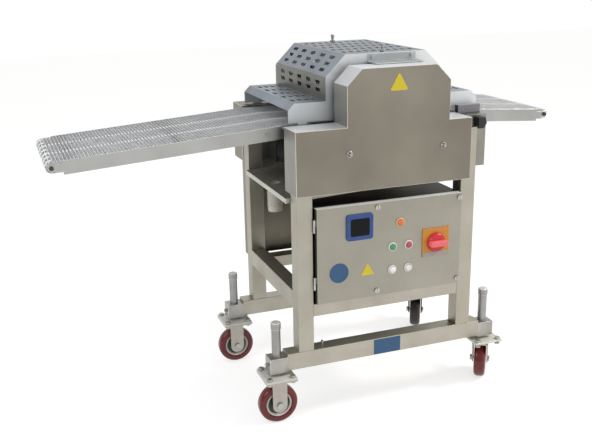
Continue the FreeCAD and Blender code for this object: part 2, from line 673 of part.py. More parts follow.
def swivel_castor(end):
    """Built pointing along +X, then turned about its post to where it stands."""
    x, y = POST_X["right"], POST_Y[end]
    angle = f"{end}_swivel_angle"
    axle_x = f"{x} + castor_trail"
    crown = f"{PLATE_UNDER} - swivel_race_height"
    leg_slope = [
        (f"{x} - fork_width / 2", crown),
        (f"{x} - fork_width / 2", f"{crown} - 14"),
        (f"{axle_x} - fork_width / 4", f"{AXLE_Z} - fork_width / 4"),
        (f"{axle_x} + fork_width / 4", f"{AXLE_Z} - fork_width / 4"),
        (f"{x} + swivel_ear", f"{crown} - 14"),
        (f"{x} + swivel_ear", crown),
    ]
    legs = []
    for i, start in enumerate((f"({y}) - {FORK_HALF} - fork_sheet", f"({y}) + {FORK_HALF}")):
        blank = prism_along_y(f"{end}_swivel_leg_{i}", leg_slope, start, "fork_sheet")
        hole = rod(f"{end}_swivel_hole_{i}", (axle_x, start, AXLE_Z), "axle_radius", "fork_sheet", "Y")
        pin_hole = rod(
            f"{end}_pedal_hole_{i}",
            (f"{x} + pedal_pivot", start, f"{PLATE_UNDER} - pedal_drop"),
            "pedal_pin + axle_fit",
            "fork_sheet",
            "Y",
        )
        legs.append(cut(f"{end}_swivel_side_{i}", blank, hole, pin_hole))
    bridge = block(
        f"{end}_swivel_bridge",
        (f"{x} - fork_width / 2", f"({y}) - {FORK_HALF} - fork_sheet", f"{crown} - fork_sheet"),
        ("fork_width", f"2 * ({FORK_HALF} + fork_sheet)", "fork_sheet"),
    )
    race = rod(f"{end}_swivel_race", (x, y, crown), "swivel_race", "swivel_race_height - swivel_gap")
    fork = fuse(f"{end}_swivel_fork_straight", *legs, bridge, race)
    node(f"{end}_swivel_fork", turned(f"{end}_swivel_fork_turned", [fork], (x, y), angle))
    axle = axle_bolt(f"{end}_swivel_axle_straight", axle_x, y)
    node(f"{end}_swivel_axle", turned(f"{end}_swivel_axle_turned", [axle], (x, y), angle))
    tyre, hub = wheel(f"right_{end}_wheel", axle_x, y)
    node(f"right_{end}_tyre", turned(f"right_{end}_tyre_turned", [tyre], (x, y), angle))
    node(f"right_{end}_hub", turned(f"right_{end}_hub_turned", [hub], (x, y), angle))
    node(
        f"{end}_brake_pedal", turned(f"{end}_brake_pedal_turned", [brake_pedal(end, x, y)], (x, y), angle)
    )


def brake_pedal(end, x, y):
    """A stepped plate on a cross pin between the fork's ears, with a shoe over the tyre."""
    pivot_x, pivot_z = f"{x} + pedal_pivot", f"{PLATE_UNDER} - pedal_drop"
    under = f"{pivot_z} + pedal_pin / 2"
    upper = f"{under} + pedal_sheet"
    profile = [
        (f"{pivot_x} - 5", under),
        (f"{pivot_x} - 5", upper),
        (f"{x} + pedal_bend", upper),
        (f"{x} + pedal_reach", f"{upper} + pedal_rise"),
        (f"{x} + pedal_reach + 0.6 * pedal_sheet", f"{under} + pedal_rise + 0.2 * pedal_sheet"),
        (f"{x} + pedal_bend + 0.35 * pedal_sheet", under),
    ]
    plate = prism_along_y(f"{end}_pedal_plate", profile, f"({y}) - pedal_width / 2", "pedal_width")
    reach = f"({FORK_HALF} + fork_sheet)"
    pin = rod(
        f"{end}_pedal_pin", (pivot_x, f"({y}) - {reach}", pivot_z), "pedal_pin", f"2 * {reach}", "Y"
    )
    shoe = block(
        f"{end}_pedal_shoe",
        (f"{pivot_x} + 18", f"({y}) - pedal_width / 2 + 2", f"{under} - 8"),
        ("12", "pedal_width - 4", "8"),
    )
    return fuse(f"{end}_pedal", plate, pin, shoe)


# The drip tray under the belt, with its drain.
TRAY_RISE = "(tray_right - tray_left) * tan(tray_slope * 1deg)"


def tray_outline(inset, extra):
    """The tray's section along X: a strip that rises to the outfeed end."""
    left, right = f"tray_left + {inset}", f"tray_right - {inset}"
    low, high = f"tray_floor + {inset}", f"tray_floor + {TRAY_RISE} + {inset}"
    return [
        (left, low),
        (right, high),
        (right, f"tray_floor + {TRAY_RISE} + tray_rim + {extra}"),
        (left, f"tray_floor + tray_rim + {extra}"),
    ]


def drip_tray():
    outside = prism_along_y(
        "tray_outside", tray_outline("0", "0"), "tray_front", "tray_back - tray_front"
    )
    inside = prism_along_y(
        "tray_inside",
        tray_outline("tray_sheet", "tray_sheet"),
        "tray_front + tray_sheet",
        "tray_back - tray_front - 2 * tray_sheet",
    )
    drain = rod(
        "tray_drain",
        ("spout_x", "spout_y", "tray_floor - 5"),
        "spout_radius - spout_wall",
        "tray_sheet + 15",
    )
    ears = []
    for side, end in CORNERS:
        x = LEG_X[side]
        floor = f"tray_floor + ({x} - tray_left) * tan(tray_slope * 1deg)"
        start, stop = ("tube", "tray_front") if end == "front" else ("tray_back", "frame_depth - tube")
        ears.append(
            between(
                f"tray_ear_{end}_{side}",
                (f"{x} + 8", start, floor),
                (f"{x} + tube - 8", stop, f"{floor} + tray_rim - 4"),
            )
        )
    node("drip_tray", fuse("tray", cut("tray_shell", outside, inside, drain), *ears))


def drain_hose():
    """A ribbed spout that hangs from the tray, with a plain end for a hose."""
    top = "tray_floor + 8"
    skirt = cone(
        "spout_skirt", ("spout_x", "spout_y", "tray_floor - 14"), "spout_radius", "spout_radius + 6", "22"
    )
    tube = rod(
        "spout_tube", ("spout_x", "spout_y", "spout_bottom"), "spout_radius", f"{top} - spout_bottom"
    )
    ribs = [
        rod(
            f"spout_rib_{i}",
            ("spout_x", "spout_y", f"tray_floor - 16 - {i} * rib_pitch - 4"),
            "spout_radius + rib_height",
            "4",
        )
        for i in range(round(value("spout_ribs")))
    ]
    bore = rod(
        "spout_bore",
        ("spout_x", "spout_y", "spout_bottom"),
        "spout_radius - spout_wall",
        f"{top} - spout_bottom",
    )
    floor = prism_along_y("spout_floor", tray_outline("0", "0"), "tray_front", "tray_back - tray_front")
    node("drain_hose", cut("spout", fuse("spout_blank", skirt, tube, *ribs), bore, floor))


# The control cabinet that stands on the front rail, and its door.
CABINET_LEFT = "-frame_length / 2 + tube + cabinet_gap"
CABINET_RIGHT = "frame_length / 2 - tube - cabinet_gap"


def electrical_cabinet():
    low = (CABINET_LEFT, "cabinet_front", "cabinet_bottom")
    high = (CABINET_RIGHT, "cabinet_back", "cabinet_top")
    inner_low = (f"{CABINET_LEFT} + cabinet_sheet", "cabinet_front", "cabinet_bottom + cabinet_sheet")
    inner_high = (
        f"{CABINET_RIGHT} - cabinet_sheet", "cabinet_back - cabinet_sheet", "cabinet_top - cabinet_sheet"
    )
    shell = cut(
        "cabinet_shell",
        between("cabinet_outside", low, high),
        between("cabinet_inside", inner_low, inner_high),
    )
    node("electrical_cabinet", shell)


def hinge_spots():
    return [("lower", "lower_hinge"), ("upper", "upper_hinge")]


def cabinet_hinges():
    """The fixed halves: a leaf on the leg, a knuckle, and the pin."""
    parts = []
    for name, z in hinge_spots():
        half = "hinge_height / 2 - 0.3"
        leaf = between(
            f"{name}_fixed_leaf",
            ("-frame_length / 2 + tube", "hinge_y", z),
            ("-frame_length / 2 + tube + 2", "22", f"{z} + {half}"),
        )
        knuckle = rod(f"{name}_fixed_knuckle", ("hinge_x", "hinge_y", z), "hinge_radius", half)
        pin = rod(f"{name}_pin", ("hinge_x", "hinge_y", z), "hinge_pin", "hinge_height")
        parts.append(fuse(f"{name}_fixed_hinge", leaf, knuckle, pin))
    node("cabinet_hinges", together("cabinet_hinges_group", parts))


def door_hinge_leaves():
    """The moving halves: a leaf on the door's edge, and a knuckle that turns on the pin."""
    parts = []
    for name, z in hinge_spots():
        low = f"{z} + hinge_height / 2"
        leaf = between(
            f"{name}_moving_leaf",
            ("door_left - 2", "hinge_y - 3", low),
            ("door_left", "door_front + door_thickness - 3", f"{z} + hinge_height"),
        )
        knuckle = rod(
            f"{name}_moving_knuckle", ("hinge_x", "hinge_y", low), "hinge_radius", "hinge_height / 2"
        )
        bore = rod(
            f"{name}_moving_bore",
            ("hinge_x", "hinge_y", low),
            "hinge_pin + hinge_fit",
            "hinge_height / 2",
        )
        parts.append(cut(f"{name}_moving_hinge", fuse(f"{name}_moving_blank", leaf, knuckle), bore))
    node("door_hinge_leaves", together("door_hinge_leaves_group", parts))


BUTTONS = {
    "start_button": ("button_left", "button_upper"),
    "stop_button": ("button_right", "button_upper"),
    "left_white_button": ("button_left", "button_lower"),
    "right_white_button": ("button_right", "button_lower"),
}
LOCKS = [(x, z) for z in ("door_top - 14", "door_bottom + 18") for x in ("lock_x", "door_right - 8")]


def door_panel():
    low = ("door_left", "door_front", "door_bottom")
    high = ("door_right", "door_front + door_thickness", "door_top")
    inner_low = ("door_left + door_sheet", "door_front + door_sheet", "door_bottom + door_sheet")
    inner_high = ("door_right - door_sheet", "door_front + door_thickness", "door_top - door_sheet")
    holes = [
        rod(f"{name}_hole", (x, "door_front", z), "button_radius + button_fit", "door_sheet", "Y")
        for name, (x, z) in BUTTONS.items()
    ]
    holes += [
        rod(f"lock_hole_{i}", (x, "door_front", z), "lock_radius / 2", "door_sheet", "Y")
        for i, (x, z) in enumerate(LOCKS)
    ]
    holes.append(rod("switch_hole", ("switch_x", "door_front", "switch_z"), "7", "door_sheet", "Y"))
    holes.append(rod("lamp_hole", ("lamp_x", "door_front", "lamp_z"), "button_radius", "door_sheet", "Y"))
    pan = cut(
        "door_pan",
        between("door_outside", low, high),
        between("door_inside", inner_low, inner_high),
        *holes,
    )
    node("door_panel", pan)


def door_locks():
    """Quarter-turn locks: a slotted head in front and a cam behind the sheet."""
    locks = []
    for i, (x, z) in enumerate(LOCKS):
        head = rod(f"lock_head_{i}", (x, "door_front - 4", z), "lock_radius", "4", "Y")
        groove = block(
            f"lock_groove_{i}",
            (f"{x} - 1", "door_front - 4", f"({z}) - lock_radius"),
            ("2", "2", "2 * lock_radius"),
        )
        stem = rod(f"lock_stem_{i}", (x, "door_front", z), "lock_radius / 2", "door_sheet + 6", "Y")
        cam = block(
            f"lock_cam_{i}",
            (f"{x} - 5", "door_front + door_sheet + 6", f"({z}) - 5"),
            ("10", "3", "10"),
        )
        locks.append(fuse(f"lock_{i}", cut(f"lock_slotted_{i}", head, groove), stem, cam))
    node("door_locks", together("door_locks_group", locks))


def touch_screen():
    """A blue frame on the door, with its glass let in, and the case behind the sheet."""
    left, low = "screen_x - screen_width / 2", "screen_z - screen_height / 2"
    frame = block("screen_frame", (left, "door_front - 6", low), ("screen_width", "6", "screen_height"))
    recess = block(
        "screen_recess",
        (f"{left} + screen_border", "door_front - 6", f"{low} + screen_border"),
        ("screen_width - 2 * screen_border", "2", "screen_height - 2 * screen_border"),
    )
    case = block(
        "screen_case",
        (f"{left} + 4", "door_front + door_sheet", f"{low} + 4"),
        ("screen_width - 8", "34", "screen_height - 8"),
    )
    pieces = [cut("screen_front", frame, recess), case]
    node("touch_screen", together("touch_screen_group", pieces))


def button_rings():
    rings = []
    for name, (x, z) in BUTTONS.items():
        collar = rod(
            f"{name}_collar", (x, "door_front - ring_height", z), "ring_radius", "ring_height", "Y"
        )
        bore = rod(
            f"{name}_collar_bore",
            (x, "door_front - ring_height", z),
            "button_radius + button_fit",
            "ring_height",
            "Y",
        )
        rings.append(cut(f"{name}_ring", collar, bore))
    node("button_rings", together("button_rings_group", rings))


def push_buttons():
    for name, (x, z) in BUTTONS.items():
        cap = rod(
            f"{name}_cap",
            (x, "button_front + 2", z),
            "button_radius",
            "-button_front + door_front + 6",
            "Y",
        )
        crown = cone(
            f"{name}_crown", (x, "button_front", z), "button_radius - 2", "button_radius", "2", "Y"
        )
        node(name, fuse(f"{name}_piece", cap, crown))


def contact_blocks():
    """The switch contacts on the back of the door, clear of the buttons' travel."""
    blocks = []
    start = "door_front + 8 + button_travel + 1"
    for name, (x, z) in BUTTONS.items():
        body = block(f"{name}_contact", (f"{x} - 14", start, f"{z} - 18"), ("28", "34", "36"))
        cheeks = [
            block(
                f"{name}_cheek_{i}",
                (f"{x} + ({side})", "door_front + door_sheet", f"{z} - 18"),
                ("3", f"({start}) - (door_front + door_sheet)", "36"),
            )
            for i, side in enumerate(("-14", "11"))
        ]
        blocks.append(fuse(f"{name}_switch", body, *cheeks))
    blocks.append(
        block(
            "main_switch_body",
            ("switch_x - 26", "door_front + door_sheet + 8", "switch_z - 26"),
            ("52", "44", "52"),
        )
    )
    for i, side in enumerate(("-26", "22")):
        blocks.append(
            block(
                f"main_switch_foot_{i}",
                (f"switch_x + ({side})", "door_front + door_sheet", "switch_z - 26"),
                ("4", "8", "52"),
            )
        )
    node("contact_blocks", together("contact_blocks_group", blocks))


def pilot_lamp():
    collar = rod(
        "lamp_collar", ("lamp_x", "door_front - ring_height", "lamp_z"), "ring_radius", "ring_height", "Y"
    )
    lens = cone(
        "lamp_lens",
        ("lamp_x", "door_front - ring_height - 6", "lamp_z"),
        "button_radius - 3",
        "button_radius + 1",
        "6",
        "Y",
    )
    body = rod("lamp_body", ("lamp_x", "door_front", "lamp_z"), "button_radius", "30", "Y")
    node("pilot_lamp", fuse("lamp", collar, lens, body))


def main_switch():
    plate = block(
        "switch_plate_blank",
        ("switch_x - switch_plate / 2", "door_front - 3", "switch_z - switch_plate / 2"),
        ("switch_plate", "3", "switch_plate"),
    )
    bore = rod("switch_plate_bore", ("switch_x", "door_front - 3", "switch_z"), "7", "3", "Y")
    node("switch_plate", cut("switch_plate_piece", plate, bore))
    base = rod("switch_base", ("switch_x", "door_front - 15", "switch_z"), "switch_radius", "11.5", "Y")
    grip = block(
        "switch_grip",
        ("switch_x - grip_length / 2", "door_front - 32", "switch_z - grip_width / 2"),
        ("grip_length", "17", "grip_width"),
    )
    stem = rod("switch_stem", ("switch_x", "door_front - 4", "switch_z"), "6", "door_sheet + 9", "Y")
    node("main_switch_knob", fuse("switch_knob", base, grip, stem))


# The bed plates that carry every roller, and the upper plates inside the side covers.
UPPER_PLATES = ("front_upper_plate", "rear_upper_plate")


def bore(name, x, z, radius, y, depth):
    return rod(name, (x, y, z), f"{radius} + shaft_fit", depth, "Y")


def bed_side_plates():
    left, right, level = "-frame_length / 2", "bed_right", "bed_level - 0.5"
    plates = []
    front_web = between(
        "front_web", (left, "tube", "front_bed_bottom"), (right, "tube + bed_sheet", level)
    )
    front_flange = between(
        "front_flange", (left, "tube", f"{level} - bed_sheet"), (right, "front_ledge", level)
    )
    rear_web = between(
        "rear_web", (left, "frame_depth", "cover_bottom"), (right, "frame_depth + bed_sheet", level)
    )
    rear_flange = between(
        "rear_flange",
        (left, "frame_depth", f"{level} - bed_sheet"),
        ("cover_right - 4", "rear_ledge", level),
    )
    for name, web, flange, y in (
        ("front", front_web, front_flange, "tube"),
        ("rear", rear_web, rear_flange, "frame_depth"),
    ):
        holes = [bore(f"{name}_drive_bore", "drive_x", "drive_z", "drive_shaft + 2", y, "bed_sheet")]
        if name == "rear":
            holes.append(bore("rear_motor_bore", "motor_x", "motor_z", "drive_shaft + 2", y, "bed_sheet"))
        plates.append(cut(f"{name}_bed", fuse(f"{name}_bed_blank", web, flange), *holes))
    for i, y in enumerate(UPPER_PLATES):
        blank = between(
            f"upper_blank_{i}",
            ("upper_plate_left", y, level),
            ("upper_plate_right", f"{y} + upper_plate_sheet", "upper_plate_top"),
        )
        holes = [
            bore(f"upper_bore_{i}_{j}", x, "press_z", "press_shaft + 2", y, "upper_plate_sheet")
            for j, x in enumerate(("press_infeed_x", "press_outfeed_x"))
        ]
        plates.append(cut(f"upper_plate_{i}", blank, *holes))
    node("bed_side_plates", together("bed_side_plates_group", plates))


def bearing(name, x, z, shaft, y):
    disc = rod(f"{name}_disc", (x, y, z), f"{shaft} + bearing_margin", "bearing_height", "Y")
    return cut(name, disc, bore(f"{name}_bore", x, z, shaft, y, "bearing_height"))


def roller_bearings():
    """Flange bearings bolted outside the plates, two to each shaft."""
    found = [
        bearing("front_drive_bearing", "drive_x", "drive_z", "drive_shaft", "tube - bearing_height"),
        bearing("rear_drive_bearing", "drive_x", "drive_z", "drive_shaft", "frame_depth + bed_sheet"),
    ]
    for name, x in (("infeed", "press_infeed_x"), ("outfeed", "press_outfeed_x")):
        found.append(
            bearing(
                f"front_{name}_bearing", x, "press_z", "press_shaft", "front_upper_plate - bearing_height"
            )
        )
        found.append(
            bearing(
                f"rear_{name}_bearing",
                x,
                "press_z",
                "press_shaft",
                "rear_upper_plate + upper_plate_sheet",
            )
        )
    node("roller_bearings", together("roller_bearings_group", found))


# The side covers: the front one carries nothing, and the rear one closes over the chain.
def cover_outline(inset, right, bottom):
    """A cover seen from the front: low at both ends, high and bevelled in the middle."""
    bend = f"{inset} * tan(22.5deg)"
    shelf, top = f"cover_shelf - {inset}", f"cover_top - {inset}"
    rise_left, rise_right = f"cover_rise_left + {inset}", f"cover_rise_right - {inset}"
    return [
        (f"cover_left + {inset}", bottom),
        (right, bottom),
        (right, shelf),
        (rise_right, shelf),
        (rise_right, f"cover_top - cover_bevel - {bend}"),
        (f"cover_rise_right - cover_bevel - {bend}", top),
        (f"cover_rise_left + cover_bevel + {bend}", top),
        (rise_left, f"cover_top - cover_bevel - {bend}"),
        (rise_left, shelf),
        (f"cover_left + {inset}", shelf),
    ]


def front_cover():
    """Open at the back, at the bottom and at its right end, where a leg passes."""
    outside = prism_along_y(
        "front_cover_outside",
        cover_outline("0", "cover_right", "cover_bottom"),
        "-cover_proud",
        "cover_depth",
    )
    inside = prism_along_y(
        "front_cover_inside",
        cover_outline("cover_sheet", "cover_right + 1", "cover_bottom - 1"),
        "cover_sheet - cover_proud",
        "cover_depth",
    )
    node("front_cover", cut("front_cover_shell", outside, inside))


def rear_cover():
    """The chain housing: deep below the shelf, shallow above it where the guard stands."""
    outline_outside = cover_outline("0", "cover_right", "cover_bottom")
    outline_inside = cover_outline(
        "cover_sheet", "cover_right - cover_sheet", "cover_bottom + cover_sheet"
    )
    above = (
        ("cover_left - 1", "rear_cover_front - 1", "cover_shelf"),
        ("cover_right + 1", "rear_rise_front", "cover_top + 1"),
    )
    above_inside = (
        ("cover_left - 1", "rear_cover_front - 1", "cover_shelf - cover_sheet"),
        ("cover_right + 1", "rear_rise_front", "cover_top + 1"),
    )
    outside = cut(
        "rear_cover_outside",
        prism_along_y(
            "rear_cover_block", outline_outside, "rear_cover_front", "rear_cover_back - rear_cover_front"
        ),
        between("rear_cover_step", *above),
    )
    inside = cut(
        "rear_cover_inside",
        prism_along_y(
            "rear_cover_core",
            outline_inside,
            "rear_cover_front",
            "rear_cover_back - cover_sheet - rear_cover_front",
        ),
        between("rear_cover_inner_step", *above_inside),
    )
    clearance = between(
        "rear_cover_plate_slot",
        ("upper_plate_left - 2", "rear_upper_plate - 2", "cover_shelf - cover_sheet"),
        ("upper_plate_right + 2", "rear_rise_front", "cover_shelf + 1"),
    )
    node("rear_cover", cut("rear_cover_shell", outside, inside, clearance))


def rear_panel():
    """A shallow pan over the back of the frame, under the chain housing."""
    low = ("-frame_length / 2", "frame_depth", "rear_panel_bottom")
    high = ("frame_length / 2", "frame_depth + rear_panel_depth", "cover_bottom - 1")
    inner_low = ("-frame_length / 2 + cover_sheet", "frame_depth", "rear_panel_bottom + cover_sheet")
    inner_high = (
        "frame_length / 2 - cover_sheet",
        "frame_depth + rear_panel_depth - cover_sheet",
        "cover_bottom - 1 - cover_sheet",
    )
    node(
        "rear_panel",
        cut(
            "rear_panel_pan",
            between("rear_panel_outside", low, high),
            between("rear_panel_inside", inner_low, inner_high),
        ),
    )


# The guard over the press rollers. It lifts straight off by its two knobs.
def hood_outline(inset, bottom):
    """The guard seen from the front: a bevelled lip, a shelf and a high middle."""
    bend = f"{inset} * tan(22.5deg)"
    lip_top = f"hood_lip + hood_lip_bevel - {inset}"
    return [
        (f"hood_left + {inset}", bottom),
        (f"hood_right - {inset}", bottom),
        (f"hood_right - {inset}", f"hood_lip - {bend}"),
        (f"hood_right - hood_lip_bevel - {bend}", lip_top),
        (f"hood_rise_right - {inset}", lip_top),
        (f"hood_rise_right - {inset}", f"hood_top - hood_bevel - {bend}"),
        (f"hood_rise_right - hood_bevel - {bend}", f"hood_top - {inset}"),
        (f"hood_rise_left + hood_bevel + {bend}", f"hood_top - {inset}"),
        (f"hood_rise_left + {inset}", f"hood_top - hood_bevel - {bend}"),
        (f"hood_rise_left + {inset}", lip_top),
        (f"hood_left + hood_lip_bevel + {bend}", lip_top),
        (f"hood_left + {inset}", f"hood_lip - {bend}"),
    ]


def slot_cutter(x, y, z, lean):
    """One round-ended slot, along Y, whose cut leans from upright by an angle about Y."""
    length, width, depth = value("slot_length"), value("slot_width"), 4 * value("hood_sheet")
    straight = (length - width) / 2
    tool = Part.makeBox(width, 2 * straight, depth, FreeCAD.Vector(-width / 2, -straight, -depth / 2))
    for end in (-straight, straight):
        tool = tool.fuse(Part.makeCylinder(width / 2, depth, FreeCAD.Vector(0, end, -depth / 2)))
    tool = tool.removeSplitter()
    tool.rotate(ORIGIN, FreeCAD.Vector(0, 1, 0), lean)
    tool.translate(FreeCAD.Vector(x, y, z))
    return tool


def slot_rows():
    """Middle of each row of slots as X, Z and lean, over the whole guard."""
    pitch = value("slot_rows_pitch")
    top, bevel = value("hood_top"), value("hood_bevel")
    shelf_top = value("hood_lip + hood_lip_bevel")
    edges = (
        (value("hood_left"), value("hood_rise_left"), 1),
        (value("hood_right"), value("hood_rise_right"), -1),
    )
    for outer, wall, way in edges:
        for i in range(4):
            yield wall - way * (5 + pitch / 2 + i * (pitch - 3)), shelf_top, 0
        for i in range(2):
            yield wall, shelf_top + pitch / 2 + 14 + i * (pitch - 2), 90
        for i in range(3):
            step = bevel / 2 + (i - 1) * 0.7 * pitch
            yield wall + way * step, top - bevel + step, -45 * way
    first, last = value("hood_rise_left") + bevel, value("hood_rise_right") - bevel
    count = int((last - first - pitch) // pitch) + 1
    middle = (first + last) / 2
    for i in range(count):
        yield middle + (i - (count - 1) / 2) * pitch, top, 0


def hood_slots():
    """Every slot of the guard, as one cutting tool."""
    tools = []
    for x, z, lean in slot_rows():
        for i in range(round(value("slots_in_row"))):
            tools.append(slot_cutter(x, value("slot_first") + i * value("slot_pitch"), z, lean))
    made = doc.addObject("Part::Feature", "hood_slots")
    made.Shape = Part.makeCompound(tools)
    return made


def hood_shell():
    outside = prism_along_y(
        "hood_outside", hood_outline("0", "hood_bottom"), "hood_front", "hood_back - hood_front"
    )
    inside = prism_along_y(
        "hood_inside",
        hood_outline("hood_sheet", "hood_bottom - 1"),
        "hood_front + hood_sheet",
        "hood_back - hood_front - 2 * hood_sheet",
    )
    mouths = between(
        "hood_mouths",
        ("hood_left - 1", "hood_front + hood_sheet", "hood_bottom - 1"),
        ("hood_right + 1", "hood_back - hood_sheet", "hood_lip"),
    )
    notches = []
    for i, x in enumerate(("press_infeed_x", "press_outfeed_x")):
        notches.append(
            between(
                f"shaft_notch_{i}",
                (f"{x} - shaft_slot / 2", "hood_front - 1", "hood_bottom - 1"),
                (f"{x} + shaft_slot / 2", "hood_back + 1", f"press_z + shaft_slot / 2"),
            )
        )
    feet = []
    for i, x in enumerate(("hood_left + hood_foot", "hood_rise_right - 1.3 * hood_foot")):
        rests = (("hood_front", "bed_level - 0.5"), ("hood_back - hood_sheet", "cover_shelf"))
        for j, (y, rest) in enumerate(rests):
            low = (x, y, f"{rest} + hood_rest")
            high = (f"{x} + hood_foot", f"{y} + hood_sheet", "hood_bottom + 1")
            feet.append(between(f"hood_foot_{i}_{j}", low, high))
    shell = cut("hood", outside, inside, mouths, hood_slots(), *notches)
    node("hood_shell", fuse("hood_on_feet", shell, *feet))


def hood_knobs():
    """Turned lifting knobs at the middle of the guard's front and back edges."""
    knobs = []
    middle = "(hood_rise_left + hood_rise_right) / 2"
    for i, y in enumerate(("hood_front + 22", "hood_back - 22")):
        foot = rod(f"knob_foot_{i}", (middle, y, "hood_top"), "knob_radius", "5")
        neck = rod(f"knob_neck_{i}", (middle, y, "hood_top + 5"), "knob_radius / 2", "8")
        head = rod(f"knob_head_{i}", (middle, y, "hood_top + 13"), "0.7 * knob_radius", "11")
        knobs.append(fuse(f"knob_{i}", foot, neck, head))
    node("hood_knobs", together("hood_knobs_group", knobs))


def hood_bracket():
    """An angle screwed to the guard's front, which lies on the front cover's top."""
    lap = between(
        "bracket_lap",
        ("bracket_left", "hood_front - 58", "cover_top + 1"),
        ("bracket_right", "hood_front", "cover_top + 4"),
    )
    flange = between(
        "bracket_flange",
        ("bracket_left", "hood_front - 3", "cover_top + 1"),
        ("bracket_right", "hood_front", "hood_top - 2"),
    )
    screws = [
        rod(f"bracket_screw_{i}", (x, "hood_front - 9", "hood_top - 11"), "5", "6", "Y")
        for i, x in enumerate(("bracket_left + 14", "bracket_right - 14"))
    ]
    node("hood_bracket", fuse("bracket", lap, flange, *screws))


# The belt and what it runs on.
FALL = "tan(conveyor_fall * 1deg)"
BELT_FRONT = "conveyor_front + rail_sheet + belt_gap"
BELT_WIDTH = "(conveyor_width - 2 * rail_sheet - 2 * belt_gap)"
RETURN_Z = "bed_level - rail_height + 4 - return_radius"
NOSE_DROP = "(nose_radius + belt_thickness) / cos(conveyor_fall * 1deg)"
NOSES = {
    "infeed": ("infeed_nose", f"bed_level - (bed_start - infeed_nose) * {FALL} - {NOSE_DROP}"),
    "outfeed": ("outfeed_nose", f"bed_level - (outfeed_nose - bed_end) * {FALL} - {NOSE_DROP}"),
}


def loop_wire(pulleys):
    """A closed wire round pulleys given as X, Z and radius, negative where it bends the other way.
    Each straight run touches two pulleys, and an arc on each pulley joins the runs."""
    runs = []
    count = len(pulleys)
    for i in range(count):
        (ax, az, ar), (bx, bz, br) = pulleys[i], pulleys[(i + 1) % count]
        heading = math.atan2(bz - az, bx - ax) - math.asin((br - ar) / math.hypot(bx - ax, bz - az))
        nx, nz = -math.sin(heading), math.cos(heading)
        runs.append(((ax - nx * ar, az - nz * ar), (bx - nx * br, bz - nz * br), heading))
    edges = []
    for i in range(count):
        start, end, heading = runs[i]
        edges.append(
            Part.makeLine(FreeCAD.Vector(start[0], 0, start[1]), FreeCAD.Vector(end[0], 0, end[1]))
        )
        x, z, radius = pulleys[(i + 1) % count]
        after, onward = runs[(i + 1) % count][0], runs[(i + 1) % count][2]
        turn = (onward - heading + math.pi) % (2 * math.pi) - math.pi
        if radius > 0 and turn < 0:
            turn += 2 * math.pi
        angle = heading + turn / 2
        middle = FreeCAD.Vector(x + math.sin(angle) * radius, 0, z - math.cos(angle) * radius)
        ends = FreeCAD.Vector(end[0], 0, end[1]), FreeCAD.Vector(after[0], 0, after[1])
        edges.append(Part.Arc(ends[0], middle, ends[1]).toShape())
    return Part.Wire(edges)


def loop_band(name, pulleys, thickness, start, width):
    """A flat band of some thickness round the pulleys, its radii measured to its inner side."""
    inner = loop_wire(pulleys_with(pulleys, 0, thickness))
    outer = loop_wire(pulleys_with(pulleys, thickness, 0))
    face = Part.makeFace([outer, inner], "Part::FaceMakerBullseye")
    made = doc.addObject("Part::Feature", name)
    made.Shape = Part.makeCompound(face.extrude(FreeCAD.Vector(0, width, 0)).Solids)
    made.Placement.Base = FreeCAD.Vector(0, start, 0)
    return made


def pulleys_with(pulleys, inside_extra, outside_extra):
    return [
        (
            x, z, radius + inside_extra if radius > 0 else radius - outside_extra
        ) for x, z, radius in pulleys
    ]


def belt_pulleys():
    """What the belt bends round, from the outfeed nose, over the top and back underneath."""
    nose, small, thick = value("nose_radius"), value("bend_radius"), value("belt_thickness")
    level = value("bed_level") - thick - small
    infeed = [value(v) for v in NOSES["infeed"]]
    outfeed = [value(v) for v in NOSES["outfeed"]]
    back = value("return_radius")
    return_z = value(RETURN_Z)
    return [
        (outfeed[0], outfeed[1], nose),
        (value("bed_end"), level, small),
        (value("bed_start"), level, small),
        (infeed[0], infeed[1], nose),
        (value("return_left"), return_z, -back),
        (value("drive_x"), value("drive_z"), value("drive_radius")),
        (value("return_right"), return_z, -back),
    ]


def mesh_belt():
    """The wire belt as a plain band of its outer size."""
    node(
        "mesh_belt",
        loop_band(
            "belt_band", belt_pulleys(), value("belt_thickness"), value(BELT_FRONT), value(BELT_WIDTH)
        ),
    )


def bar_notch(name, x, y):
    """The hollow in a rail's lower edge where a return bar passes under it."""
    return rod(name, (x, y, RETURN_Z), "return_radius", "rail_sheet", "Y")


def conveyor_side_rails():
    rails = []
    infeed = ("infeed_rail_end", "bed_start", "infeed_rail_start", "(bed_start - infeed_rail_end)")
    outfeed = ("outfeed_rail_end", "bed_end", "outfeed_rail_start", "(outfeed_rail_end - bed_end)")
    sides = ("conveyor_front", "conveyor_front + conveyor_width - rail_sheet")
    for name, (end, bend, start, run) in (("infeed", infeed), ("outfeed", outfeed)):
        low = f"bed_level - {run} * {FALL}"
        corners = [
            (start, "bed_level"),
            (bend, "bed_level"),
            (end, low),
            (end, f"{low} - rail_height"),
            (bend, "bed_level - rail_height"),
            (start, "bed_level - rail_height"),
        ]
        x, z = NOSES[name]
        for i, y in enumerate(sides):
            rail = prism_along_y(f"{name}_rail_{i}", corners, y, "rail_sheet")
            inner = f"{end} + 24" if name == "infeed" else f"{end} - 24"
            ear = between(
                f"{name}_ear_{i}",
                (x if name == "infeed" else inner, y, f"{z} - 10"),
                (inner if name == "infeed" else x, f"{y} + rail_sheet", f"{z} + 10"),
            )
            tip = rod(f"{name}_tip_{i}", (x, y, z), "10", "rail_sheet", "Y")
            hole = bore(f"{name}_nose_bore_{i}", x, z, "nose_shaft", y, "rail_sheet")
            blank = fuse(f"{name}_side_blank_{i}", rail, ear, tip)
            rails.append(
                cut(f"{name}_side_{i}", blank, hole, bar_notch(f"{name}_notch_{i}", "return_left", y))
            )
    node("conveyor_side_rails", together("conveyor_side_rails_group", rails))


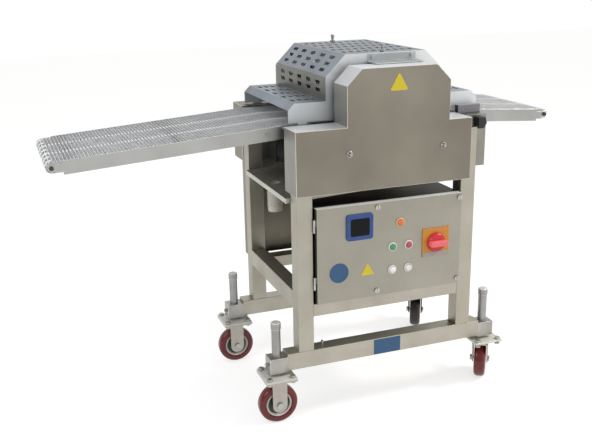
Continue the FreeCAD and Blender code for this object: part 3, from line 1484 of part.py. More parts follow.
def strip_under_belt(name, x_from, x_to, bend, y):
    """A strip that the belt slides on, under one sloping arm."""
    under = "bed_level - belt_thickness - 0.2"
    drop = f"({bend} - ({x_to})) * {FALL}" if name.startswith(
        "infeed"
    ) else f"(({x_to}) - {bend}) * {FALL}"
    corners = [
        (x_from, under),
        (bend, under),
        (x_to, f"{under} - {drop}"),
        (x_to, f"{under} - {drop} - 6"),
        (bend, f"{under} - 6"),
        (x_from, f"{under} - 6"),
    ]
    return prism_along_y(name, corners, y, "wear_strip")


def cross_member(name, x, top):
    inner = "conveyor_front + rail_sheet"
    return block(
        name,
        (f"({x}) - cross_bar / 2", inner, f"({top}) - cross_bar_sheet"),
        ("cross_bar", "conveyor_width - 2 * rail_sheet", "cross_bar_sheet"),
    )


def conveyor_cross_bars():
    """Bars between the rails, the strips on them, the bed slider, the return bars and the tie rods."""
    parts = []
    under = "bed_level - belt_thickness - 6.2"
    strips = [f"{BELT_FRONT} + {BELT_WIDTH} * {share} - wear_strip / 2" for share in ("1 / 3", "2 / 3")]
    infeed_bars = ["infeed_rail_end + 20", "infeed_rail_end + 20 + cross_bar_pitch", "bed_start - 35"]
    outfeed_bars = ["outfeed_rail_end - 20", "bed_end + 60"]
    for name, end, bend, stop, bars in (
        ("infeed", "infeed_rail_end + 4", "bed_start", "infeed_rail_start", infeed_bars),
        ("outfeed", "outfeed_rail_end - 4", "bed_end", "outfeed_rail_start", outfeed_bars),
    ):
        way = -1 if name == "infeed" else 1
        members = [
            cross_member(f"{name}_bar_{i}", x, f"{under} - ({way}) * (({x}) - {bend}) * {FALL}")
            for i, x in enumerate(bars)
        ]
        members += [
            strip_under_belt(f"{name}_strip_{i}", stop, end, bend, y) for i, y in enumerate(strips)
        ]
        parts.append(fuse(f"{name}_support", *members))
    parts.append(
        between(
            "bed_slider",
            (
                "infeed_rail_start + 0.5",
                "conveyor_front + rail_sheet",
                "bed_level - belt_thickness - 5.2",
            ),
            (
                "outfeed_rail_start - 0.5",
                "conveyor_front + conveyor_width - rail_sheet",
                "bed_level - belt_thickness - 0.2",
            ),
        )
    )
    for i, x in enumerate(("return_left", "return_right")):
        parts.append(
            rod(
                f"return_bar_{i}",
                (x, "tube + bed_sheet", RETURN_Z),
                "return_radius - roller_clearance",
                "frame_depth - tube - bed_sheet",
                "Y",
            )
        )
    for i, x in enumerate(("infeed_rail_start - 20", "outfeed_rail_start - 60")):
        for j, (y, stop) in enumerate(
            (("tube + bed_sheet", "conveyor_front"), ("conveyor_front + conveyor_width", "frame_depth"))
        ):
            parts.append(
                rod(f"tie_rod_{i}_{j}", (x, y, "bed_level - 20"), "tie_rod", f"({stop}) - ({y})", "Y")
            )
    for i, y in enumerate(("conveyor_front", "conveyor_front + conveyor_width - rail_sheet")):
        cheek = between(
            f"slider_rail_blank_{i}",
            ("infeed_rail_start + 0.5", y, "bed_level - rail_height"),
            ("outfeed_rail_start - 0.5", f"{y} + rail_sheet", "bed_level"),
        )
        parts.append(cut(f"slider_rail_{i}", cheek, bar_notch(f"slider_notch_{i}", "return_right", y)))
    node("conveyor_cross_bars", together("conveyor_cross_bars_group", parts))


# The rollers, each a body with its shaft.
def nose_rollers():
    for name, (x, z) in NOSES.items():
        drum = rod(
            f"{name}_nose_drum", (x, BELT_FRONT, z), "nose_radius - roller_clearance", BELT_WIDTH, "Y"
        )
        shaft = rod(
            f"{name}_nose_shaft", (x, "conveyor_front - 2", z), "nose_shaft", "conveyor_width + 4", "Y"
        )
        caps = [
            rod(f"{name}_nose_cap_{i}", (x, y, z), "nose_shaft + 3", "4", "Y")
            for i, y in enumerate(("conveyor_front - 5", "conveyor_front + conveyor_width + 1"))
        ]
        node(f"{name}_nose_roller", fuse(f"{name}_nose", drum, shaft, *caps))


def drive_roller():
    drum = rod(
        "drive_drum",
        ("drive_x", BELT_FRONT, "drive_z"),
        "drive_radius - roller_clearance",
        BELT_WIDTH,
        "Y",
    )
    shaft = rod(
        "drive_shaft_bar",
        ("drive_x", "30", "drive_z"),
        "drive_shaft",
        "sprocket_y + sprocket_width + 4 - 30",
        "Y",
    )
    wheel_disc = rod(
        "drive_sprocket",
        ("drive_x", "sprocket_y", "drive_z"),
        "sprocket_radius - roller_clearance",
        "sprocket_width",
        "Y",
    )
    node("drive_roller", fuse("drive_roller_piece", drum, shaft, wheel_disc))


def press_rollers():
    """Grooved drums over the belt, on shafts that run out to the upper plates."""
    for name, x in (("infeed", "press_infeed_x"), ("outfeed", "press_outfeed_x")):
        drum = rod(f"{name}_press_drum", (x, BELT_FRONT, "press_z"), "press_radius", BELT_WIDTH, "Y")
        count = int(value(BELT_WIDTH) // value("groove_pitch"))
        grooves = []
        for i in range(count):
            y = f"{BELT_FRONT} + {BELT_WIDTH} / 2 + ({i} - {(count - 1) / 2}) * groove_pitch - groove_width / 2"
            ring = rod(
                f"{name}_groove_outer_{i}", (x, y, "press_z"), "press_radius + 1", "groove_width", "Y"
            )
            core = rod(
                f"{name}_groove_core_{i}",
                (x, y, "press_z"),
                "press_radius - groove_depth",
                "groove_width",
                "Y",
            )
            grooves.append(cut(f"{name}_groove_{i}", ring, core))
        shaft = rod(
            f"{name}_press_shaft",
            (x, "front_upper_plate - bearing_height - 4", "press_z"),
            "press_shaft",
            "rear_upper_plate + upper_plate_sheet + 2 * bearing_height + 8 - front_upper_plate",
            "Y",
        )
        node(
            f"{name}_press_roller",
            fuse(f"{name}_press", cut(f"{name}_press_grooved", drum, *grooves), shaft),
        )


# The drive: a gear motor behind the tray's low end, with a chain in the rear cover.
def gear_motor():
    back = "frame_depth"
    box = between(
        "gearbox",
        ("motor_x - gearbox_length / 2", f"{back} - gearbox_depth", "motor_z - gearbox_height / 2"),
        ("motor_x + gearbox_length / 2", back, "motor_z + gearbox_height / 2"),
    )
    housing = rod(
        "motor_housing",
        ("motor_x", f"{back} - gearbox_depth - motor_length", "motor_z"),
        "motor_radius - 6",
        "motor_length",
        "Y",
    )
    count = int(value("motor_length") // value("motor_fin_pitch"))
    fins = [
        rod(
            f"motor_fin_{i}",
            ("motor_x", f"{back} - gearbox_depth - motor_length + {i} * motor_fin_pitch", "motor_z"),
            "motor_radius",
            "motor_fin",
            "Y",
        )
        for i in range(count)
    ]
    nose = bore("gearbox_bore", "motor_x", "motor_z", "drive_shaft + 2", f"{back} - 12", "12")
    node("gear_motor", cut("gear_motor_piece", fuse("gear_motor_blank", box, housing, *fins), nose))


def motor_sprocket():
    shaft = rod(
        "motor_shaft",
        ("motor_x", "frame_depth - 8", "motor_z"),
        "drive_shaft",
        "sprocket_y + sprocket_width + 4 - frame_depth + 8",
        "Y",
    )
    disc = rod(
        "motor_sprocket_disc",
        ("motor_x", "sprocket_y", "motor_z"),
        "sprocket_radius - roller_clearance",
        "sprocket_width",
        "Y",
    )
    node("motor_sprocket", fuse("motor_sprocket_piece", shaft, disc))


def drive_chain():
    radius = value("sprocket_radius")
    pulleys = [
        (value("drive_x"), value("drive_z"), radius),
        (value("motor_x"), value("motor_z"), radius),
    ]
    node(
        "drive_chain",
        loop_band(
            "chain_band", pulleys, value("chain_thickness"), value("sprocket_y"), value("sprocket_width")
        ),
    )


# Small pieces.
def safety_switches():
    """A coded bar beside the guard's front edge, and the black switch under the ledge."""
    level = "bed_level - 0.5"
    bar = between(
        "switch_bar", ("cover_right + 4", "84", level), ("bed_right - 2", "104", f"{level} + 26")
    )
    body = prism_along_y(
        "limit_switch_body",
        [
            ("frame_length / 2 + 20", "bed_level - 42"),
            ("frame_length / 2 + 40", "bed_level - 42"),
            ("frame_length / 2 + 50", "bed_level - 26"),
            ("frame_length / 2 + 44", "bed_level - 6.5"),
            ("frame_length / 2 + 20", "bed_level - 6.5"),
        ],
        "tube - 26",
        "26",
    )
    node("safety_switches", together("safety_switches_group", [bar, body]))


def frame_fasteners():
    """Clamp screws of the blocks, domed nuts of the front cover, and the earthing stud."""
    parts = []
    for side, end in CORNERS:
        x, y = POST_X[side], POST_Y[end]
        name = f"{end}_{side}_clamp_screw"
        if side == "left":
            parts.append(
                rod(
                    name,
                    (f"{x} - block_length / 2 - 9", y, "block_bottom + block_height / 2"),
                    "5.5",
                    "9",
                    "X",
                )
            )
        else:
            spot = (f"{x} - block_length / 4", f"{y} + tube / 2", "block_bottom + block_height - 6")
            parts.append(rod(name, spot, "5.5", "9", "Y"))
    rail_spot = ("bed_start - rail_bolt_inset", "conveyor_front - 5", "bed_level - rail_bolt_drop")
    parts.append(rod("rail_bolt", rail_spot, "rail_bolt", "5", "Y"))
    for i, x in enumerate(("cover_rise_left + 7", "cover_rise_right - 19")):
        washer = rod(
            f"cover_washer_{i}", (x, "-cover_proud - 2", "cover_bottom + 114"), "nut_radius + 2", "2", "Y"
        )
        dome = cone(
            f"cover_dome_{i}",
            (x, "-cover_proud - 11", "cover_bottom + 114"),
            "nut_radius / 2",
            "nut_radius",
            "9",
            "Y",
        )
        parts.append(fuse(f"cover_nut_{i}", washer, dome))
    parts.append(
        rod(
            "earthing_stud",
            ("-frame_length / 2 + tube + 36", "tube / 2", "lower_rail_bottom + lower_rail_height"),
            "stud_radius",
            "stud_length",
        )
    )
    node("frame_fasteners", together("frame_fasteners_group", parts))


MAKERS = [
    frame_legs, frame_lower_rails, frame_middle_rails, clamp_blocks, height_posts, plate_bolts,
    rigid_castors, drip_tray, drain_hose, electrical_cabinet, cabinet_hinges, door_hinge_leaves,
    door_panel, door_locks, touch_screen, button_rings, push_buttons, contact_blocks, pilot_lamp,
    main_switch, bed_side_plates, roller_bearings, front_cover, rear_cover, rear_panel, hood_shell,
    hood_knobs, hood_bracket, mesh_belt, conveyor_side_rails, conveyor_cross_bars, nose_rollers,
    drive_roller, press_rollers, gear_motor, motor_sprocket, drive_chain, safety_switches,
    frame_fasteners,
]


def build():
    for make in MAKERS:
        make()
    for end in LEG_Y:
        swivel_castor(end)
    doc.recompute()
    for thing in doc.Objects:
        if "Invalid" in thing.State or "Error" in thing.State:
            raise RuntimeError(f"{thing.Name} failed: {thing.State}")
    for made in nodes:
        if made.Shape.isNull() or not made.Shape.isValid() or not made.Shape.Solids:
            shape = made.Shape
            raise RuntimeError(
                f"{made.Label} is no valid solid: null {shape.isNull()}, valid {shape.isValid()}"
            )


def origin_shift():
    """Moves the point under the middle of the whole machine to the origin."""
    whole = FreeCAD.BoundBox()
    for made in nodes:
        whole.add(made.Shape.BoundBox)
    return FreeCAD.Vector(-whole.Center.x, -whole.Center.y, -whole.ZMin)


def write():
    os.makedirs("parts", exist_ok=True)
    shift = origin_shift()
    for made in nodes:
        shape = made.Shape.copy()
        shape.translate(shift)
        shape.exportStep(f"parts/{made.Label}.step")
    return shift


build()
SHIFT = write()
print(len(nodes), "nodes; shift", [round(v, 3) for v in SHIFT])
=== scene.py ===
"""A stainless machine that flattens meat on a wire belt, under a lift-off guard and on a wheeled frame."""
import json
import math

import bmesh
import bpy
import numpy as np
from mathutils import Matrix, Vector


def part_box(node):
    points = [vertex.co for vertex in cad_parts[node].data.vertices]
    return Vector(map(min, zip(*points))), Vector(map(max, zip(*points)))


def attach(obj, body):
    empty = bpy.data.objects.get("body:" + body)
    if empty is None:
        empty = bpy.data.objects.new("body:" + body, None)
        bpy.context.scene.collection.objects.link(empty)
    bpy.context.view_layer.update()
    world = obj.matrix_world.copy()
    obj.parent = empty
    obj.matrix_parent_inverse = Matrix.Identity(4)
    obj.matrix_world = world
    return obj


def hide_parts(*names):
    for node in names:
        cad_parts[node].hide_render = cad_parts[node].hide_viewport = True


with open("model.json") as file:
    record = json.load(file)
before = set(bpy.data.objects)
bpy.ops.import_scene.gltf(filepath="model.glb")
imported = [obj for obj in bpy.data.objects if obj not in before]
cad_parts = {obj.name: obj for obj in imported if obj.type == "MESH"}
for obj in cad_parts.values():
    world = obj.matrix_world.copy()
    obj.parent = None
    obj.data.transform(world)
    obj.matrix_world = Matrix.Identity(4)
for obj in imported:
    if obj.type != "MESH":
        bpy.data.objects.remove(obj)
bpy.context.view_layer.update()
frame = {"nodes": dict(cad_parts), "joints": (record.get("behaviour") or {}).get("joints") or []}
nodes = frame["nodes"]

# The camera stands at the front left of the machine, a little above it, and looks down on the belt.
# Its place and angles were matched to the photograph, whose frame is 592 pixels wide.
MM = 0.001
PHOTO_WIDTH = 592
FOCAL_PIXELS = 845.3
SENSOR_WIDTH = 36.0
CAMERA_PLACE = (-0.9417, -2.5028, 1.3690)
AZIMUTH = math.radians(19.9844)
ELEVATION = math.radians(16.9104)
ROLL = math.radians(-1.0869)

ahead = Vector((math.sin(AZIMUTH) * math.cos(ELEVATION), math.cos(AZIMUTH) * math.cos(ELEVATION),
                -math.sin(ELEVATION)))
across = ahead.cross(Vector((0, 0, 1))).normalized()
upward = across.cross(ahead)
image_right = across * math.cos(ROLL) + upward * math.sin(ROLL)
image_up = upward * math.cos(ROLL) - across * math.sin(ROLL)
camera = bpy.data.objects.new("camera", bpy.data.cameras.new("camera"))
bpy.context.scene.collection.objects.link(camera)
camera.matrix_world = (Matrix.Translation(CAMERA_PLACE)
                       @ Matrix((image_right, image_up, -ahead)).transposed().to_4x4())
camera.data.sensor_width = SENSOR_WIDTH
camera.data.lens = FOCAL_PIXELS / PHOTO_WIDTH * SENSOR_WIDTH
camera.data.clip_start = 0.1
camera.data.clip_end = 100.0
bpy.context.scene.camera = camera
bpy.context.scene.view_settings.view_transform = "Standard"


# The studio is a white room: a pale floor that keeps soft shadows, a white surround and two soft lamps.
# The larger lamp stands high at the right, so that the shadows fall to the left of the castors.
FLOOR_COLOURS = ("#e4e3e1", "#e8e7e5")
FLOOR_PATCHES_PER_METRE = 3.0
FLOOR_HALF = 12.0
FLOOR_GLOW = 0.66
SHADOW_SHARE = 0.66
ROOM_STRENGTH = 0.62
MIRRORED_STRENGTH = 0.95
MIRRORED_LEFT_STRENGTH = 0.42
# What bright steel mirrors grows dimmer towards the left, between these two sideways directions.
DIM_RANGE = (-0.9, 0.1)
LAMP_AIM = (0.0, 0.0, 0.6)
# Each lamp has its place and its width in metres, its power in watts and its colour.
LAMPS = {
    "key_lamp": ((3.1, -1.1, 3.1), 0.8, 78.0, "#fff8ee"),
    "fill_lamp": ((-3.6, -1.2, 3.0), 1.8, 52.0, "#eef3ff"),
}


def linear(hex_colour, alpha=1.0):
    """An sRGB hex colour as linear red, green and blue, with the alpha last."""
    parts = [int(hex_colour[i:i + 2], 16) / 255 for i in (1, 3, 5)]
    return [p / 12.92 if p <= 0.04045 else ((p + 0.055) / 1.055) ** 2.4 for p in parts] + [alpha]


def add_node(tree, kind, sockets=None, **settings):
    """Adds a node: settings are its attributes, and a socket gets a value or the output of another node."""
    made = tree.nodes.new(kind)
    for name, value in settings.items():
        setattr(made, name, value)
    for name, value in (sockets or {}).items():
        if isinstance(value, bpy.types.NodeSocket):
            tree.links.new(value, made.inputs[name])
        else:
            made.inputs[name].default_value = value
    return made


def piece(name, mesh, body=None, material=None, replaced=()):
    """Puts a mesh into the scene at the origin, lets it ride on a body and gives it a material; the parts it
    replaces are hidden.
    """
    made = bpy.data.objects.new(name, mesh)
    bpy.context.scene.collection.objects.link(made)
    if material:
        mesh.materials.clear()
        mesh.materials.append(material)
    if body:
        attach(made, body)
    if replaced:
        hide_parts(*replaced)
    return made


floor_paint = bpy.data.materials.new("matt white studio floor")
floor_paint.use_nodes = True
tree = floor_paint.node_tree
tree.nodes.clear()
rays = add_node(tree, "ShaderNodeLightPath").outputs
mirrored = add_node(tree, "ShaderNodeMath", {0: rays["Is Glossy Ray"], 1: rays["Is Transmission Ray"]},
                    operation="MAXIMUM").outputs[0]
seen = add_node(tree, "ShaderNodeMath", {0: mirrored, 1: rays["Is Camera Ray"]},
                operation="MAXIMUM").outputs[0]
dust = add_node(tree, "ShaderNodeTexNoise", {"Scale": FLOOR_PATCHES_PER_METRE, "Detail": 2.0}).outputs["Fac"]
shade = add_node(tree, "ShaderNodeMix", {
    "Factor": dust, "A": linear(FLOOR_COLOURS[0]), "B": linear(FLOOR_COLOURS[1])},
    data_type="RGBA").outputs["Result"]
softened = add_node(tree, "ShaderNodeMapRange", {"Value": seen, "To Min": 1.0, "To Max": SHADOW_SHARE})
dimmed = add_node(tree, "ShaderNodeVectorMath", {0: shade, "Scale": softened.outputs["Result"]},
                  operation="SCALE")
matt = add_node(tree, "ShaderNodeBsdfDiffuse", {"Color": dimmed.outputs["Vector"]}).outputs["BSDF"]
lift = add_node(tree, "ShaderNodeMath", {0: seen, 1: FLOOR_GLOW}, operation="MULTIPLY").outputs[0]
glow = add_node(tree, "ShaderNodeEmission", {"Strength": lift}).outputs["Emission"]
both = add_node(tree, "ShaderNodeAddShader", {0: matt, 1: glow}).outputs[0]
add_node(tree, "ShaderNodeOutputMaterial", {"Surface": both})

corners = np.array([(-1, -1), (1, -1), (1, 1), (-1, 1)]) * FLOOR_HALF
floor_mesh = bpy.data.meshes.new("studio_floor")
floor_mesh.from_pydata(np.c_[corners, np.zeros(4)], [], [(0, 1, 2, 3)])
piece("studio_floor", floor_mesh, material=floor_paint)

room = bpy.data.worlds.new("white room")
bpy.context.scene.world = room
room.use_nodes = True
tree = room.node_tree
tree.nodes.clear()
rays = add_node(tree, "ShaderNodeLightPath").outputs
mirrored = add_node(tree, "ShaderNodeMath", {0: rays["Is Glossy Ray"], 1: rays["Is Transmission Ray"]},
                    operation="MAXIMUM").outputs[0]
direction = add_node(tree, "ShaderNodeTexCoord").outputs["Generated"]
sideways = add_node(tree, "ShaderNodeSeparateXYZ", {0: direction}).outputs["X"]
dim_left = add_node(tree, "ShaderNodeMapRange", {
    "Value": sideways, "From Min": DIM_RANGE[0], "From Max": DIM_RANGE[1],
    "To Min": MIRRORED_LEFT_STRENGTH, "To Max": MIRRORED_STRENGTH},
    interpolation_type="SMOOTHSTEP").outputs["Result"]
lit = add_node(tree, "ShaderNodeMix", {
    "Factor": mirrored, "A": ROOM_STRENGTH, "B": dim_left}).outputs["Result"]
shown = add_node(tree, "ShaderNodeMix", {
    "Factor": rays["Is Camera Ray"], "A": lit, "B": 1.0}).outputs["Result"]
white = add_node(tree, "ShaderNodeBackground", {"Color": linear("#ffffff"), "Strength": shown}).outputs[0]
add_node(tree, "ShaderNodeOutputWorld", {"Surface": white})

for name, (place, size, power, colour) in LAMPS.items():
    lamp_data = bpy.data.lights.new(name, "AREA")
    lamp_data.size = size
    lamp_data.energy = power
    lamp_data.color = linear(colour)[:3]
    lamp = bpy.data.objects.new(name, lamp_data)
    bpy.context.scene.collection.objects.link(lamp)
    aim = Vector(LAMP_AIM) - Vector(place)
    lamp.matrix_world = Matrix.Translation(place) @ aim.to_track_quat("-Z", "Y").to_matrix().to_4x4()


# The frame is 50 mm square stainless tube, welded and bead-blasted, with clamp blocks for the height posts.
# Blasting leaves an even satin grey that looks warm, with small cloudy patches; edges are painted brighter,
# partly wear and partly a painted highlight.
TUBE_EDGE = 3.0
TUBE_GREY = "#a9a598"
CLOUD_SIZE = 90.0
# Real grit is finer than 1 mm. It is drawn coarser, so that it shows at the size of the photo.
GRIT_SIZE = 4.0
NOISE_RANGE = (0.3, 0.7)
GRAIN_DEPTH = 0.2
GRAIN_SPREAD = 0.07
EDGE_ANGLE = 35.0
EDGE_STEPS = 2
FLAT_ANGLE = 0.5
MERGE_GAP = 0.02
# Places are in mm of the machine's drawing, in which the legs' lowest corner lies here.
LEG_CORNER = (-298.0, 0.0, 230.0)
origin = np.array(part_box("frame_legs")[0]) / MM - LEG_CORNER


def sheet_steel(name, colour, other, roughness, grain=(1, 1, 1), cloud=CLOUD_SIZE, relief=0.04,
                streak=0.25):
    """Stainless steel whose colour drifts between two tones in clouds, with a fine grain along an axis.

    The clouds are noise of the given size in mm; the grain is noise of a few mm, its scale along each axis
    multiplied by the numbers in grain, and it moves both the roughness and a shallow bump.
    """
    steel = bpy.data.materials.new(name)
    steel.use_nodes = True
    tree = steel.node_tree
    tree.nodes.clear()
    spot = add_node(tree, "ShaderNodeTexCoord").outputs["Object"]
    clouds = add_node(tree, "ShaderNodeTexNoise", {
        "Vector": spot, "Scale": 1 / (cloud * MM), "Detail": 3.0})
    along = add_node(tree, "ShaderNodeMapping", {"Vector": spot, "Scale": grain})
    streaks = add_node(tree, "ShaderNodeTexNoise", {
        "Vector": along.outputs[0], "Scale": 1 / (GRIT_SIZE * MM), "Detail": 4.0, "Roughness": 0.6})
    mixed = add_node(tree, "ShaderNodeMath", {
        0: streaks.outputs["Fac"], 1: streak, 2: clouds.outputs["Fac"]}, operation="MULTIPLY_ADD")
    tone = add_node(tree, "ShaderNodeMapRange", {
        "Value": mixed.outputs[0], "From Min": NOISE_RANGE[0] + streak / 2,
        "From Max": NOISE_RANGE[1] + streak / 2})
    paint = add_node(tree, "ShaderNodeMix", {
        "Factor": tone.outputs["Result"], "A": linear(colour), "B": linear(other)}, data_type="RGBA")
    rough = add_node(tree, "ShaderNodeMapRange", {
        "Value": streaks.outputs["Fac"], "From Min": NOISE_RANGE[0], "From Max": NOISE_RANGE[1],
        "To Min": roughness - GRAIN_SPREAD, "To Max": roughness + GRAIN_SPREAD})
    bump = add_node(tree, "ShaderNodeBump", {
        "Height": streaks.outputs["Fac"], "Strength": relief, "Distance": GRAIN_DEPTH * MM})
    shader = add_node(tree, "ShaderNodeBsdfPrincipled", {
        "Base Color": paint.outputs["Result"], "Metallic": 1.0, "Roughness": rough.outputs["Result"],
        "Normal": bump.outputs[0]})
    add_node(tree, "ShaderNodeOutputMaterial", {"Surface": shader.outputs[0]})
    return steel


def round_edges(made, edge, edge_strip_material=None):
    """Rounds every sharp edge to a radius in mm; a second material, if given, goes on the rounded strips."""
    bevel = made.modifiers.new("rounded edges", "BEVEL")
    bevel.width = edge * MM
    bevel.segments = EDGE_STEPS
    bevel.limit_method = "ANGLE"
    bevel.angle_limit = math.radians(EDGE_ANGLE)
    if edge_strip_material:
        made.data.materials.append(edge_strip_material)
        bevel.material = len(made.data.materials) - 1
    made.data.shade_smooth()
    made.modifiers.new("flat faces stay flat", "WEIGHTED_NORMAL").weight = 100
    return made


def paint_faces(made, material, chosen):
    """Gives a second material to the faces for which chosen is true. It is asked with two arrays: the faces'
    middles, in mm of the drawing, and their normals."""
    faces = made.data.polygons
    middles = np.empty(len(faces) * 3)
    normals = np.empty(len(faces) * 3)
    faces.foreach_get("center", middles)
    faces.foreach_get("normal", normals)
    picked = chosen(middles.reshape(-1, 3) / MM - origin, normals.reshape(-1, 3))
    kept = np.zeros(len(faces), int)
    faces.foreach_get("material_index", kept)
    made.data.materials.append(material)
    faces.foreach_set("material_index", np.where(picked, len(made.data.materials) - 1, kept))


def rounded(node, edge, material, body="frame", edge_strip_material=None):
    """A copy of a solid with its flat faces made whole and every sharp edge rounded to a radius in mm."""
    shape = bmesh.new()
    shape.from_mesh(nodes[node].data)
    bmesh.ops.remove_doubles(shape, verts=shape.verts, dist=MERGE_GAP * MM)
    bmesh.ops.dissolve_limit(shape, angle_limit=math.radians(FLAT_ANGLE), verts=shape.verts,
                             edges=shape.edges)
    mesh = bpy.data.meshes.new(node)
    shape.to_mesh(mesh)
    shape.free()
    return round_edges(piece(node + "_finished", mesh, body, material, [node]), edge, edge_strip_material)


# Tubes show the blasted grey, the blocks a colder milled grey, and their edges are painted bright, as wear
# and a painted highlight.
blasted_upright = sheet_steel("bead-blasted steel, upright", TUBE_GREY, "#b3afa2", 0.46, (1, 1, 0.15))
blasted_level = sheet_steel("bead-blasted steel, level", TUBE_GREY, "#b6b2a6", 0.46, (0.15, 1, 1))
block_steel = sheet_steel("milled steel block", "#a09f9a", "#b2b1ac", 0.40, (1, 1, 1), 40.0)
# The bright edge material is partly wear and partly a painted highlight on every rounded edge that gets it.
edge_wear_and_highlight = sheet_steel("steel edge, worn and painted highlight", "#d9d9d4", "#ecece8", 0.34, (1, 1, 1), 30.0, 0.02)
rounded("frame_legs", TUBE_EDGE, blasted_upright)
rounded("frame_lower_rails", TUBE_EDGE, blasted_level)
rounded("frame_middle_rails", TUBE_EDGE, blasted_level)
rounded("clamp_blocks", 1.5, block_steel, edge_strip_material=edge_wear_and_highlight)


# The bed's side plates, the drip tray and the covers are folded from 2 mm stainless sheet, brushed first.
# A brushed face looks grey-brown with faint upright streaks, and each bend shows as a thin bright line.
# The front cover's sloping and level faces, and its sides, are painted lighter than its front, the slopes a
# little bluish: painted light, chosen by each face's normal.
SHEET_EDGE = 1.6
# These are limits for a face's normal.
SLANT = 0.3
SQUARE_ON = 0.9
brushed_cover = sheet_steel("brushed steel sheet, cover", "#7c776c", "#948e82", 0.42, (1, 1, 0.04), 320.0,
                            0.02, 0.12)
brushed_bed = sheet_steel("brushed steel sheet, bed", "#8a8880", "#9c9a92", 0.36, (0.05, 1, 1), 120.0)
brushed_tray = sheet_steel("brushed steel sheet, tray", "#c0bfb5", "#d0cfc5", 0.48, (0.05, 1, 1), 120.0)
cover_bevel_painted_light = sheet_steel("brushed steel sheet, bevel, painted light", "#d7d8db", "#e4e5e7", 0.55, (0.05, 1, 1), 160.0)
cover_side_painted_light = sheet_steel("brushed steel sheet, side, painted light", "#98978f", "#a6a59e", 0.50, (1, 1, 0.05), 160.0)
front_shell = rounded("front_cover", SHEET_EDGE, brushed_cover, edge_strip_material=edge_wear_and_highlight)
# Painted light: the sloping faces and the sides of the front cover get lighter copies of its sheet.
paint_faces(front_shell, cover_bevel_painted_light,
            lambda middle, normal: (normal[:, 2] > SLANT) & (abs(normal[:, 1]) < SLANT))
paint_faces(front_shell, cover_side_painted_light, lambda middle, normal: abs(normal[:, 0]) > SQUARE_ON)
rounded("rear_cover", SHEET_EDGE, brushed_cover, edge_strip_material=edge_wear_and_highlight)
rounded("rear_panel", SHEET_EDGE, brushed_cover)
rounded("bed_side_plates", 1.0, brushed_bed)
rounded("drip_tray", 0.8, brushed_tray, edge_strip_material=edge_wear_and_highlight)


# The guard is one folded sheet over the rollers, pierced with slots and held by two screws at its bracket.
# Its sheet has a cooler, bluish grey than the covers. Its ends are painted lighter and its risers and top
# darker, as painted light and shade; its cut edges carry a painted highlight, and its knobs are turned and
# polished.
GUARD_TOP_HEIGHT = 1060.0
LEVEL = 0.95
CUT_EDGE = (0.12, 0.95)
guard_sheet = sheet_steel("brushed steel sheet, guard", "#8d959e", "#9fa7b0", 0.42, (1, 0.05, 1), 160.0)
guard_end_painted_light = sheet_steel("brushed steel sheet, guard end, painted light", "#d3d7d9", "#e0e3e4", 0.60, (0.05, 1, 1), 160.0)
bracket_sheet = sheet_steel("brushed steel sheet, bracket", "#a6abad", "#b6babc", 0.55, (0.05, 1, 1), 160.0)
guard_riser_painted_shade = sheet_steel("brushed steel sheet, guard riser, painted shade", "#76766f", "#86867f", 0.40, (1, 0.05, 1),
                          160.0)
guard_top_painted_shade = sheet_steel("brushed steel sheet, guard top, painted shade", "#79838a", "#8a949a", 0.42, (1, 0.05, 1), 160.0)
turned_bright = sheet_steel("turned and polished steel", "#a3a3a1", "#c2c2c0", 0.22, (1, 1, 1), 30.0, 0.02)
guard_shell = rounded("hood_shell", 1.2, guard_sheet, "guard", edge_strip_material=edge_wear_and_highlight)
# The faces are chosen by their normals: painted light on the ends, painted shade on the risers and the top, a
# painted highlight on the cut edges.
paint_faces(guard_shell, guard_end_painted_light, lambda middle, normal: abs(normal[:, 1]) > SQUARE_ON)
paint_faces(guard_shell, guard_riser_painted_shade, lambda middle, normal: abs(normal[:, 0]) > SQUARE_ON)
paint_faces(guard_shell, guard_top_painted_shade,
            lambda middle, normal: (normal[:, 2] > LEVEL) & (middle[:, 2] > GUARD_TOP_HEIGHT))
paint_faces(guard_shell, edge_wear_and_highlight,
            lambda middle, normal: (abs(normal[:, 1]) > CUT_EDGE[0]) & (abs(normal[:, 1]) < CUT_EDGE[1]))
rounded("hood_bracket", 0.8, bracket_sheet, "guard", edge_strip_material=edge_wear_and_highlight)
rounded("hood_knobs", 0.8, turned_bright, "guard")


# The cabinet is a sheet box with a hinged door; quarter-turn locks hold the door at its right and below.
# Its door is satin like the tubes; the roof and sides are painted dark, a painted reflection of the steel
# around them.
# The door's upward faces are painted nearly white, a painted highlight that shows as a pale line along the
# top of the door.
TOP_EDGE = 0.5
# The pimples of a moulded skin are drawn coarser than the real ones, which are finer than 0.5 mm.
PIMPLE_SIZE = 1.5
PIMPLE_DEPTH = 0.1
PATCH_SPREAD = 0.06


